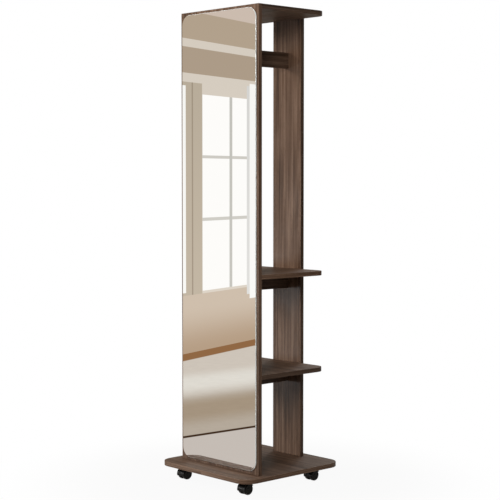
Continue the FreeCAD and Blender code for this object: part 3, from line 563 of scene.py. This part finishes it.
class Recipe:
    """A geometry tree with named inputs for its sizes, and short calls for its nodes."""

    def __init__(self, name, sizes):
        self.tree = bpy.data.node_groups.new(name, "GeometryNodeTree")
        sockets = [("Places", "Geometry"), *((size, "Float") for size in sizes),
                   ("Seed", "Int"), ("Finish", "Material")]
        for title, kind in sockets:
            self.tree.interface.new_socket(title, in_out="INPUT", socket_type="NodeSocket" + kind)
        self.tree.interface.new_socket("Pieces", in_out="OUTPUT", socket_type="NodeSocketGeometry")
        self.given = self.tree.nodes.new("NodeGroupInput").outputs

    def node(self, kind, inputs=(), **settings):
        """New node; inputs are pairs of a socket's name or number and its value."""
        made = self.tree.nodes.new(kind)
        for name, value in settings.items():
            setattr(made, name, value)
        for key, value in inputs:
            self.put(made.inputs[key], value)
        return made

    def put(self, socket, value):
        """Link a socket, or set its value."""
        if isinstance(value, bpy.types.NodeSocket):
            self.tree.links.new(value, socket)
        else:
            socket.default_value = value

    def math(self, operation, *values):
        return self.node("ShaderNodeMath", enumerate(values), operation=operation).outputs[0]

    def point(self, x, y, z):
        return self.node("ShaderNodeCombineXYZ", enumerate((x, y, z))).outputs[0]

    def moved(self, mesh, z, turn=0.0):
        """Mesh raised by z, and turned about its own axis."""
        return self.node("GeometryNodeTransform", [
            ("Geometry", mesh), ("Translation", self.point(0.0, 0.0, z)),
            ("Rotation", (0.0, 0.0, turn))]).outputs[0]

    def joined(self, *meshes):
        """Meshes joined, linked from the last to the first."""
        made = self.node("GeometryNodeJoinGeometry")
        for mesh in reversed(meshes):
            self.tree.links.new(mesh, made.inputs[0])
        return made.outputs[0]

    def shaped(self, mesh, rule):
        """Move each point to where rule(x, y, z, distance from the axis) puts it."""
        place = self.node("GeometryNodeInputPosition").outputs[0]
        parts = self.node("ShaderNodeSeparateXYZ", [(0, place)]).outputs
        reach = self.node("ShaderNodeVectorMath", [(0, self.point(parts[0], parts[1], 0.0))],
                          operation="LENGTH").outputs["Value"]
        return self.node("GeometryNodeSetPosition", [
            ("Geometry", mesh),
            ("Position", rule(parts[0], parts[1], parts[2], reach))]).outputs[0]

    def rod(self, radius, length, top, sides=FASTENER_SIDES, rings=1, turn=0.0):
        """Closed rod that hangs down from the level top."""
        made = self.node("GeometryNodeMeshCylinder", [
            ("Vertices", sides), ("Side Segments", rings), ("Radius", radius),
            ("Depth", length)])
        return self.moved(made.outputs["Mesh"],
                          self.math("MULTIPLY_ADD", length, -0.5, top), turn)

    def domed(self, radius, foot_radius, height, crown, power):
        """Closed disc on level 0.

        Its top falls by the share crown at the rim. A higher power keeps more of it flat.
        """
        cone = self.node("GeometryNodeMeshCone", [
            ("Vertices", FASTENER_SIDES), ("Fill Segments", CROWN_RINGS), ("Radius Top", radius),
            ("Radius Bottom", foot_radius), ("Depth", height)]).outputs["Mesh"]

        def rule(x, y, z, reach):
            share = self.math("POWER", self.math("DIVIDE", reach, radius), power)
            fall = self.math("SUBTRACT", 1.0, self.math("MULTIPLY", share, crown))
            return self.point(x, y, self.math("MULTIPLY", z, fall))
        return self.shaped(cone, rule)

    def threaded(self, rod, pitch, groove):
        """Screw thread cut into a rod with many rings, as one zigzag for each pitch."""
        def rule(x, y, z, reach):
            turn = self.math("DIVIDE", self.math("ARCTAN2", y, x), 2 * math.pi)
            phase = self.math("ADD", self.math("DIVIDE", z, pitch), turn)
            ridge = self.math("PINGPONG", phase, 0.5)
            wanted = self.math("SUBTRACT", reach, self.math(
                "MULTIPLY", self.math("MULTIPLY", ridge, 2.0), groove))
            share = self.math("DIVIDE", self.math("MAXIMUM", wanted, 0.0),
                              self.math("MAXIMUM", reach, LEAST_REACH))
            return self.point(self.math("MULTIPLY", x, share), self.math("MULTIPLY", y, share), z)
        return self.shaped(rod, rule)

    def cut(self, mesh, cutter):
        """Mesh with the cutter taken out of it."""
        return self.node("GeometryNodeMeshBoolean", [("Mesh 1", mesh), ("Mesh 2", cutter)],
                         operation="DIFFERENCE", solver="EXACT").outputs["Mesh"]

    def placed(self, piece):
        """One piece on each place, turned to its way out and at random about its own axis."""
        way_out = self.node("GeometryNodeInputNamedAttribute", [("Name", "way_out")],
                            data_type="FLOAT_VECTOR").outputs["Attribute"]
        facing = self.node("FunctionNodeAlignRotationToVector", [("Vector", way_out)],
                           axis="Z").outputs[0]
        # Inputs 2 and 3 are the least and the greatest angle, and output 1 is the angle.
        angle = self.node("FunctionNodeRandomValue", [
            (2, 0.0), (3, 2 * math.pi), ("ID", self.node("GeometryNodeInputIndex").outputs[0]),
            ("Seed", self.given["Seed"])], data_type="FLOAT").outputs[1]
        spin = self.node("FunctionNodeAxisAngleToRotation", [
            ("Axis", (0.0, 0.0, 1.0)), ("Angle", angle)]).outputs[0]
        turned = self.node("FunctionNodeRotateRotation", [(0, facing), (1, spin)],
                           rotation_space="LOCAL").outputs[0]
        copies = self.node("GeometryNodeInstanceOnPoints", [
            ("Points", self.given["Places"]), ("Instance", piece), ("Rotation", turned)])
        real = self.node("GeometryNodeRealizeInstances", [
            ("Geometry", copies.outputs[0])]).outputs[0]
        smooth = self.node("GeometryNodeSetShadeSmooth", [
            ("Geometry", real), ("Shade Smooth", True)]).outputs[0]
        bend = self.node("GeometryNodeInputMeshEdgeAngle").outputs["Unsigned Angle"]
        crisp = self.node("GeometryNodeSetShadeSmooth", [
            ("Geometry", smooth), ("Selection", self.math("GREATER_THAN", bend, CRISP_ANGLE)),
            ("Shade Smooth", False)], domain="EDGE").outputs[0]
        finished = self.node("GeometryNodeSetMaterial", [
            ("Geometry", crisp), ("Material", self.given["Finish"])]).outputs[0]
        output = self.tree.nodes.new("NodeGroupOutput")
        self.tree.links.new(finished, output.inputs["Pieces"])
        return self


def cross_head_screw():
    """Pan-head screw with a cross recess, a thread and a point."""
    recipe = Recipe("cross_head_screw", [
        "Head Radius", "Head Height", "Recess Length", "Recess Width", "Recess Depth",
        "Shank Radius", "Shank Length", "Tip Length", "Pitch", "Groove"])
    given = recipe.given
    head = recipe.domed(given["Head Radius"], given["Head Radius"], given["Head Height"],
                        crown=0.6, power=2.0)
    arms = []
    for length, width in (("Recess Length", "Recess Width"), ("Recess Width", "Recess Length")):
        size = recipe.point(given[length], given[width],
                            recipe.math("MULTIPLY", given["Recess Depth"], CUTTER_REACH))
        cube = recipe.node("GeometryNodeMeshCube", [("Size", size)]).outputs["Mesh"]
        arms.append(recipe.moved(cube, given["Head Height"]))
    head = recipe.cut(recipe.cut(head, arms[0]), arms[1])
    straight = recipe.math("SUBTRACT", given["Shank Length"], given["Tip Length"])
    shank = recipe.rod(given["Shank Radius"], straight, 0.0, SHANK_SIDES, THREAD_RINGS)
    shank = recipe.threaded(shank, given["Pitch"], given["Groove"])
    core = recipe.math("SUBTRACT", given["Shank Radius"], given["Groove"])
    tip = recipe.node("GeometryNodeMeshCone", [
        ("Vertices", SHANK_SIDES), ("Radius Top", core), ("Radius Bottom", 0.0),
        ("Depth", given["Tip Length"])]).outputs["Mesh"]
    tip = recipe.moved(tip, recipe.math("MULTIPLY", given["Shank Length"], -1.0))
    return recipe.placed(recipe.joined(head, shank, tip))


def socket_screw():
    """One-piece carcass screw: countersunk head with a six-sided socket, and plain neck."""
    recipe = Recipe("socket_screw", [
        "Head Radius", "Head Cone", "Socket Radius", "Socket Depth", "Neck Radius",
        "Neck Length", "Thread Radius", "Length", "Tip Length", "Pitch", "Groove"])
    given = recipe.given
    under_head = recipe.math("MULTIPLY", given["Head Cone"], -1.0)
    under_neck = recipe.math("MULTIPLY", given["Neck Length"], -1.0)
    foot = recipe.math("MULTIPLY", given["Neck Radius"], HEAD_FOOT)
    head = recipe.domed(given["Head Radius"], foot, given["Head Cone"], crown=0.0, power=1.0)
    head = recipe.moved(head, under_head)
    plain = recipe.math("SUBTRACT", given["Neck Length"], given["Head Cone"])
    neck = recipe.rod(given["Neck Radius"], plain, under_head)
    cutter_length = recipe.math("MULTIPLY", given["Socket Depth"], CUTTER_REACH)
    cutter = recipe.rod(given["Socket Radius"], cutter_length, given["Socket Depth"],
                        SOCKET_SIDES, turn=SOCKET_TURN)
    straight = recipe.math("SUBTRACT", recipe.math(
        "SUBTRACT", given["Length"], given["Tip Length"]), given["Neck Length"])
    shank = recipe.rod(given["Thread Radius"], straight, under_neck, SHANK_SIDES, THREAD_RINGS)
    shank = recipe.threaded(shank, given["Pitch"], given["Groove"])
    core = recipe.math("SUBTRACT", given["Thread Radius"], given["Groove"])
    tip = recipe.node("GeometryNodeMeshCone", [
        ("Vertices", SHANK_SIDES), ("Radius Top", core),
        ("Radius Bottom", recipe.math("MULTIPLY", core, BLUNT_TIP)),
        ("Depth", given["Tip Length"])]).outputs["Mesh"]
    tip = recipe.moved(tip, recipe.math("MULTIPLY", given["Length"], -1.0))
    return recipe.placed(recipe.joined(
        recipe.cut(head, cutter), recipe.cut(neck, cutter), shank, tip))


def cover_cap():
    """Moulded cap with a soft rim and a peg."""
    recipe = Recipe("cover_cap", ["Radius", "Thickness", "Peg Radius", "Peg Length"])
    given = recipe.given
    disc = recipe.domed(given["Radius"], given["Radius"], given["Thickness"],
                        crown=0.5, power=5.0)
    peg = recipe.rod(given["Peg Radius"], given["Peg Length"], 0.0, SHANK_SIDES)
    return recipe.placed(recipe.joined(disc, peg))


def grow(name, recipe, places, sizes, finish, node):
    """Make one plain mesh of a recipe's pieces, in place of a CAD node.

    places are pairs of a point and the way out of the board there; sizes are in millimetres.
    """
    mesh = bpy.data.meshes.new(name)
    mesh.from_pydata([place for place, _ in places], [], [])
    way_out = mesh.attributes.new("way_out", "FLOAT_VECTOR", "POINT")
    way_out.data.foreach_set("vector", [part for _, way in places for part in way])
    piece = bpy.data.objects.new(name, mesh)
    bpy.context.scene.collection.objects.link(piece)
    modifier = piece.modifiers.new(recipe.tree.name, "NODES")
    modifier.node_group = recipe.tree
    values = {size: value * MM for size, value in sizes.items()}
    values.update({"Seed": SPIN_SEED, "Finish": finish})
    for socket in recipe.tree.interface.items_tree:
        if socket.in_out == "INPUT" and socket.name in values:
            modifier[socket.identifier] = values[socket.name]
    made = piece.evaluated_get(bpy.context.evaluated_depsgraph_get())
    grown = bpy.data.meshes.new_from_object(made)
    piece.modifiers.clear()
    piece.data = grown
    bpy.data.meshes.remove(mesh)
    grown.name = name
    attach(piece, CARCASS)
    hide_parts(node)


def middle(node):
    """Middle of a CAD node's box."""
    low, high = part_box(node)
    return (low + high) / 2


def grow_fasteners():
    """Screws under the caster plates and the base, and screws and caps behind."""
    down, back = (0.0, 0.0, -1.0), (0.0, 1.0, 0.0)
    plates = []
    for corner in CORNERS:
        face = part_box(corner + "_caster_plate")[1].z - PLATE_THICKNESS
        centre = middle(corner + "_caster_plate")
        plates += [((centre.x + dx * PLATE_HOLE, centre.y + dy * PLATE_HOLE, face), down)
                   for dx in (-1, 1) for dy in (-1, 1)]
    grow("cross_head_plate_screws", cross_head_screw(), plates, PLATE_SCREW, zinc,
         "caster_screws")

    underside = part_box("base_board")[0].z
    front, rear = middle("mirror_board").y, middle("rear_board").y
    base = [((x, front, underside), down) for x in (-FRONT_SPREAD, 0.0, FRONT_SPREAD)]
    base += [((x, rear, underside), down) for x in (-REAR_SPREAD, REAR_SPREAD)]
    screw = socket_screw()
    grow("socket_base_screws", screw, base, SOCKET_SCREW, zinc, "base_screws")

    back_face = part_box("rear_board")[1].y
    holes = [(x, middle(board).z) for board in ("lower_shelf", "middle_shelf", "top_board")
             for x in (-REAR_SPREAD, REAR_SPREAD)]
    holes += [(0.0, middle(rail).z + dz) for rail in ("lower_apron", "middle_apron",
                                                      "hanging_rail")
              for dz in (-RAIL_SPREAD, RAIL_SPREAD)]
    behind = [((x, back_face, z), back) for x, z in holes]
    grow("socket_rear_screws", screw, behind, SOCKET_SCREW, zinc, "rear_screws")
    grow("domed_cover_caps", cover_cap(), behind, COVER_CAP, cap_brown, "screw_caps")


grow_fasteners()


# ---------------------------------------------------------------------- studio

FLOOR_HALF = 30.0
FLOOR_TONE = (0.30, 0.287, 0.27)
# The camera sees the floor as white far away, and as a share of white near the object,
# where its shadow stays.
NEAR_WHITE = 0.94
NEAR_REACH, FAR_REACH = 0.40, 1.0

# The floor that the mirror shows.
FLOOR_MIRRORED = (0.600, 0.550, 0.510)
RUG_NEAR = (0.530, 0.465, 0.390)
RUG_FAR = (0.710, 0.650, 0.580)
RUG_SHADED = (0.430, 0.345, 0.255)
RUG_SUNLIT = (0.850, 0.825, 0.765)
RUG_BINDING = (0.050, 0.024, 0.010)
WOOD_STRIP = (0.300, 0.150, 0.065)
# The rug's edge: its turn about Z, how far it lies from the origin, its softness and width.
RUG_EDGE_TURN = math.radians(3.767)
RUG_EDGE = -0.7923
RUG_EDGE_SOFT = 0.006
RUG_BINDING_WIDTH = 0.030
RUG_BINDING_SOFT = 0.012
# How far beyond the rug's edge its tones change: from near to far, into and out of the shaded
# strip, and into and out of the sunlit patch.
RUG_FADE = (0.60, 1.30)
SHADE_IN, SHADE_OUT = (0.12, 0.45), (0.90, 0.60)
SUN_IN, SUN_OUT = (0.75, 1.15), (1.60, 1.25)
PILE_CYCLES = 14.0
PILE_SHARE = 0.16
WOOD_STRIP_WIDTH = 0.16
WOOD_STRIP_SOFT = 0.02

# The set round the object: turn about Z, its left, right, front and rear walls, its height,
# and how far each layer on a wall stands before the one behind it.
SET_TURN = math.radians(-17.499)
SET_LEFT, SET_RIGHT, SET_FRONT, SET_REAR = -1.9826, 4.6, -5.0, 3.6
SET_HEIGHT = 2.139
SET_STEP = 0.0004
# The left wall has windows as far as SET_DIM_FROM, and one of them starts at SET_START. On
# the front wall one starts SET_FRONT_START from the corner. SET_UNIT is a window's length.
SET_DIM_FROM = -1.8
SET_START = -3.0863
SET_FRONT_START = 0.45
SET_UNIT = 1.288
# Tone at the foot, tone at the top, and the level where the top tone is reached.
SET_TONES = {
    "set_ceiling": ((0.645, 0.546, 0.473), (0.645, 0.546, 0.473), SET_HEIGHT),
    "set_wall": ((0.490, 0.395, 0.300), (0.441, 0.355, 0.270), SET_HEIGHT),
    "set_low_wall": ((0.500, 0.370, 0.260), (0.670, 0.565, 0.460), 0.30),
    "set_trim": ((0.790, 0.725, 0.640), (0.711, 0.652, 0.576), SET_HEIGHT),
    "set_frame": ((0.590, 0.515, 0.415), (0.505, 0.440, 0.350), SET_HEIGHT),
    "set_frame_line": ((0.400, 0.330, 0.260), (0.360, 0.300, 0.230), SET_HEIGHT),
    "set_bar": ((0.620, 0.615, 0.580), (0.570, 0.570, 0.535), SET_HEIGHT),
    "set_cross_bar": ((0.700, 0.690, 0.650), (0.640, 0.620, 0.580), SET_HEIGHT),
    "set_shade": ((0.580, 0.500, 0.410), (0.475, 0.385, 0.290), SET_HEIGHT),
    "set_drape": ((1.030, 1.035, 1.020), (0.985, 0.990, 0.975), SET_HEIGHT),
    "set_fold": ((0.820, 0.820, 0.810), (0.700, 0.700, 0.690), SET_HEIGHT),
    "set_light": ((1.060, 1.060, 1.055), (1.060, 1.060, 1.055), SET_HEIGHT),
    "set_dark": ((0.050, 0.046, 0.042), (0.045, 0.041, 0.038), SET_HEIGHT),
    "set_dim": ((0.300, 0.270, 0.235), (0.270, 0.243, 0.211), SET_HEIGHT),
}
# Heights of the sill, of the window's top and the frame's top, and of the shade's edge.
SILL, WINDOW_TOP, FRAME_TOP, SHADE_FOOT = 0.365, 1.754, 1.698, 1.967
# Bands that run the whole length of a wall: low, high, tone.
SET_BANDS = [
    (0.0, SILL, "set_low_wall"),
    (WINDOW_TOP, 1.916, "set_wall"),
    (1.916, SHADE_FOOT, "set_trim"),
    (SHADE_FOOT, SET_HEIGHT, "set_shade"),
]
# Start and end of the panes along the wall, and their low and high edges.
PANES_ALONG = [(0.231, 0.568), (0.602, 0.961)]
PANES_UP = [(0.382, 0.827), (0.848, 1.226), (1.245, 1.629)]
PANES_START, PANES_END = PANES_ALONG[0][0], PANES_ALONG[-1][1]
PANES_FOOT, PANES_TOP = PANES_UP[0][0], PANES_UP[-1][1]
# Layers of a window, from the wall forward: start and end along the wall, low, high, tone.
SET_WINDOW = [
    (0.0, SET_UNIT, SILL, WINDOW_TOP, "set_trim"),
    (0.0, PANES_START, SILL, FRAME_TOP, "set_frame"),
    (0.0, 0.037, PANES_FOOT, 1.675, "set_drape"),
    (0.106, 0.121, SILL, FRAME_TOP, "set_frame_line"),
    (PANES_START, PANES_END, PANES_FOOT, PANES_TOP, "set_cross_bar"),
    (PANES_ALONG[0][1], PANES_ALONG[1][0], PANES_FOOT, PANES_TOP, "set_bar"),
    *((*along, *up, "set_light") for along in PANES_ALONG for up in PANES_UP),
    (0.793, 0.83, 0.318, 1.716, "set_fold"),
    (0.83, 1.059, 0.287, 1.732, "set_drape"),
]

# Light that the white surround gives, against a strength of 1 where it is seen.
WORLD_LIGHT = 0.17


def glow_surface(finish, colour):
    """Surface that shows one colour whatever light falls on it."""
    glow = finish.node("ShaderNodeEmission")
    finish.put(glow.inputs["Color"], colour)
    return glow.outputs[0]


def mix_surfaces(finish, factor, first, second):
    """Mix of two surfaces."""
    made = finish.node("ShaderNodeMixShader")
    for index, value in enumerate((factor, first, second)):
        finish.put(made.inputs[index], value)
    return made.outputs[0]


def mirrored_floor(finish):
    """Floor as the mirror shows it: pale, with a bound rug and a strip of wood by the wall."""
    def reach(turn):
        """How far a point lies in the direction of a turn about Z."""
        made = finish.node("ShaderNodeVectorMath", operation="DOT_PRODUCT")
        finish.put(made.inputs[0], finish.coordinates)
        finish.put(made.inputs[1], (math.cos(turn), math.sin(turn), 0.0))
        return made.outputs["Value"]

    beyond = finish.math("SUBTRACT", RUG_EDGE, reach(RUG_EDGE_TURN))
    from_wall = finish.math("SUBTRACT", reach(SET_TURN), SET_LEFT)
    shade = finish.math("MULTIPLY", finish.between(beyond, *SHADE_IN),
                        finish.between(beyond, *SHADE_OUT))
    sun = finish.math("MULTIPLY", finish.between(beyond, *SUN_IN),
                      finish.between(beyond, *SUN_OUT))
    pile = finish.noise(PILE_CYCLES, detail=4.0, roughness=0.7)
    rug = finish.mix(finish.between(beyond, *RUG_FADE), RUG_NEAR, RUG_FAR)
    rug = finish.mix(sun, finish.mix(shade, rug, RUG_SHADED), RUG_SUNLIT)
    rug = finish.mix(finish.math("MULTIPLY", pile, PILE_SHARE), rug, RUG_BINDING)
    inner = finish.between(beyond, RUG_BINDING_WIDTH, RUG_BINDING_WIDTH + RUG_BINDING_SOFT)
    tone = finish.mix(inner, RUG_BINDING, rug)
    off_strip = finish.between(from_wall, WOOD_STRIP_WIDTH, WOOD_STRIP_WIDTH + WOOD_STRIP_SOFT)
    tone = finish.mix(off_strip, WOOD_STRIP, tone)
    on_rug = finish.between(beyond, -RUG_EDGE_SOFT, RUG_EDGE_SOFT)
    return finish.mix(on_rug, FLOOR_MIRRORED, tone)


def studio_floor():
    """Floor that is white to the camera, the mirrored floor to gloss, and clear from below."""
    finish = Finish("pale_floor")
    distance = finish.node("ShaderNodeVectorMath", operation="LENGTH")
    finish.put(distance.inputs[0], finish.coordinates)
    white = finish.between(distance.outputs["Value"], NEAR_REACH, FAR_REACH, to_low=NEAR_WHITE)
    path = finish.node("ShaderNodeLightPath").outputs
    seen = path["Is Camera Ray"]
    mirrored = finish.math("MAXIMUM", path["Is Glossy Ray"], path["Is Transmission Ray"])
    paint = finish.node("ShaderNodeBsdfDiffuse")
    finish.put(paint.inputs["Color"], FLOOR_TONE)
    glow = glow_surface(finish, finish.mix(mirrored, (1.0, 1.0, 1.0), mirrored_floor(finish)))
    lift = finish.math("MAXIMUM", finish.math("MULTIPLY", white, seen), mirrored)
    lifted = mix_surfaces(finish, lift, paint.outputs[0], glow)
    from_below = finish.math("MULTIPLY", seen, finish.geometry.outputs["Backfacing"])
    clear = finish.node("ShaderNodeBsdfTransparent").outputs[0]
    material = finish.finished(mix_surfaces(finish, from_below, lifted, clear))

    mesh = bpy.data.meshes.new("studio_floor")
    low, high = -FLOOR_HALF, FLOOR_HALF
    mesh.from_pydata([(low, low, 0), (high, low, 0), (high, high, 0), (low, high, 0)],
                     [], [(0, 1, 2, 3)])
    mesh.materials.append(material)
    floor = bpy.data.objects.new("studio_floor", mesh)
    bpy.context.scene.collection.objects.link(floor)


def studio_set():
    """Pale walls with soft windows round the object, which only gloss and glass show."""
    points, faces, tones = [], [], []
    names = list(SET_TONES)

    def pane(corners, tone):
        first = len(points)
        points.extend(corners)
        faces.append((first, first + 1, first + 2, first + 3))
        tones.append(names.index(tone))

    def plain_wall(start, end, tone):
        """Wall of one tone from start to end."""
        pane([(*start, 0), (*end, 0), (*end, SET_HEIGHT), (*start, SET_HEIGHT)], tone)

    def wall(start, end, outward, windows):
        """Wall from start to end, with windows at their starts; outward leaves the room."""
        start, end, outward = Vector(start), Vector(end), Vector(outward)
        length = (end - start).length
        along = (end - start) / length
        for low, high, tone in SET_BANDS:
            pane([(*(start + along * at), z) for at, z in
                  ((0, low), (length, low), (length, high), (0, high))], tone)
        for layer, (left, right, low, high, tone) in enumerate(SET_WINDOW, start=1):
            inward = -outward * SET_STEP * layer
            for offset in windows:
                ends = [min(max(offset + at, 0.0), length) for at in (left, right)]
                pane([(*(start + along * at + inward), z) for at, z in
                      ((ends[0], low), (ends[1], low), (ends[1], high), (ends[0], high))], tone)

    def window_starts(length, first):
        """Starts of the windows along a wall, and of one before it and one after it."""
        count = int(length / SET_UNIT) + 2
        return [first + SET_UNIT * step for step in range(-1, count)]

    wall((SET_LEFT, SET_DIM_FROM), (SET_LEFT, SET_FRONT), (-1, 0),
         window_starts(SET_DIM_FROM - SET_FRONT, (SET_DIM_FROM - SET_START) % SET_UNIT))
    plain_wall((SET_LEFT, SET_DIM_FROM), (SET_LEFT, SET_REAR), "set_dim")
    plain_wall((SET_RIGHT, SET_FRONT), (SET_RIGHT, SET_REAR), "set_dark")
    plain_wall((SET_RIGHT, SET_REAR), (SET_LEFT, SET_REAR), "set_dark")
    wall((SET_LEFT, SET_FRONT), (SET_RIGHT, SET_FRONT), (0, -1),
         window_starts(SET_RIGHT - SET_LEFT, SET_FRONT_START))
    pane([(SET_LEFT, SET_FRONT, SET_HEIGHT), (SET_LEFT, SET_REAR, SET_HEIGHT),
          (SET_RIGHT, SET_REAR, SET_HEIGHT), (SET_RIGHT, SET_FRONT, SET_HEIGHT)], "set_ceiling")

    mesh = bpy.data.meshes.new("studio_set")
    mesh.from_pydata(points, [], faces)
    mesh.transform(Matrix.Rotation(SET_TURN, 4, "Z"))
    for name, (foot, top, level) in SET_TONES.items():
        finish = Finish(name)
        height = finish.parts(finish.coordinates)[2]
        colour = finish.mix(finish.between(height, 0.0, level), foot, top)
        mesh.materials.append(finish.finished(glow_surface(finish, colour)))
    for face, tone in zip(mesh.polygons, tones):
        face.material_index = tone
    holder = bpy.data.objects.new("studio_set", mesh)
    bpy.context.scene.collection.objects.link(holder)
    holder.visible_camera = False
    holder.visible_diffuse = False
    holder.visible_shadow = False
    holder.visible_volume_scatter = False


def studio_world():
    """White surround for what is seen, and a gentler one for the light it gives."""
    world = bpy.data.worlds.new("studio_world")
    bpy.context.scene.world = world
    world.use_nodes = True
    tree = world.node_tree
    tree.nodes.clear()
    path = tree.nodes.new("ShaderNodeLightPath")
    seen = path.outputs["Is Camera Ray"]
    for kind in ("Is Glossy Ray", "Is Transmission Ray"):
        either = tree.nodes.new("ShaderNodeMath")
        either.operation = "MAXIMUM"
        tree.links.new(seen, either.inputs[0])
        tree.links.new(path.outputs[kind], either.inputs[1])
        seen = either.outputs[0]
    strength = tree.nodes.new("ShaderNodeMapRange")
    tree.links.new(seen, strength.inputs["Value"])
    strength.inputs["To Min"].default_value = WORLD_LIGHT
    strength.inputs["To Max"].default_value = 1.0
    background = tree.nodes.new("ShaderNodeBackground")
    background.inputs["Color"].default_value = (1, 1, 1, 1)
    tree.links.new(strength.outputs[0], background.inputs["Strength"])
    output = tree.nodes.new("ShaderNodeOutputWorld")
    tree.links.new(background.outputs[0], output.inputs["Surface"])


def soft_light(name, place, aim, width, height, power, glossy=True, diffuse=True):
    """Lamp with a bright rectangle; without glossy or diffuse it gives none of that light."""
    lamp = bpy.data.lights.new(name, "AREA")
    lamp.shape = "RECTANGLE"
    lamp.size = width
    lamp.size_y = height
    lamp.energy = power
    holder = bpy.data.objects.new(name, lamp)
    holder.visible_glossy = glossy
    holder.visible_diffuse = diffuse
    bpy.context.scene.collection.objects.link(holder)
    holder.location = place
    holder.rotation_euler = (Vector(aim) - Vector(place)).to_track_quat("-Z", "Y").to_euler()


CAMERA_PLACE = (3.5672, -3.3001, 1.1047)
CAMERA_TURN = math.radians(47.226)
CAMERA_TILT = math.radians(2.766)
# Pixels: the picture's width, the focal length, and how far the shift raises the object.
PICTURE_WIDTH = 500
FOCAL_PIXELS = 1338.1
RAISED_PIXELS = 8
SENSOR_WIDTH = 36.0
VIEW_REACH = 200


def camera():
    """Camera at the object's right front, tilted a little down."""
    view = bpy.data.cameras.new("camera")
    view.sensor_fit = "HORIZONTAL"
    view.sensor_width = SENSOR_WIDTH
    view.lens = FOCAL_PIXELS / PICTURE_WIDTH * SENSOR_WIDTH
    view.shift_y = -RAISED_PIXELS / PICTURE_WIDTH
    view.clip_end = VIEW_REACH
    holder = bpy.data.objects.new("camera", view)
    bpy.context.scene.collection.objects.link(holder)
    holder.location = CAMERA_PLACE
    holder.rotation_euler = (math.pi / 2 - CAMERA_TILT, 0.0, CAMERA_TURN)
    bpy.context.scene.camera = holder


studio_floor()
studio_set()
studio_world()
soft_light("key_light", place=(2.7, -4.0, 2.6), aim=(0, 0, 0.8), width=2.0, height=1.6,
           power=165)
soft_light("fill_light", place=(-3.0, -3.2, 3.2), aim=(0, 0, 0.9), width=2.0, height=1.8,
           power=160, glossy=False)
soft_light("top_light", place=(-0.8, -1.4, 4.6), aim=(0, 0, 0), width=2.4, height=2.4,
           power=14)
soft_light("glint_light", place=(-3.4, -3.15, 0.32), aim=(0, 0, 0.05), width=1.3, height=0.6,
           power=52, diffuse=False)
soft_light("rear_light", place=(-1.5, 4.6, 2.8), aim=(0, 0, 0.9), width=3.0, height=2.4,
           power=110)
camera()
bpy.context.scene.view_settings.view_transform = "Standard"
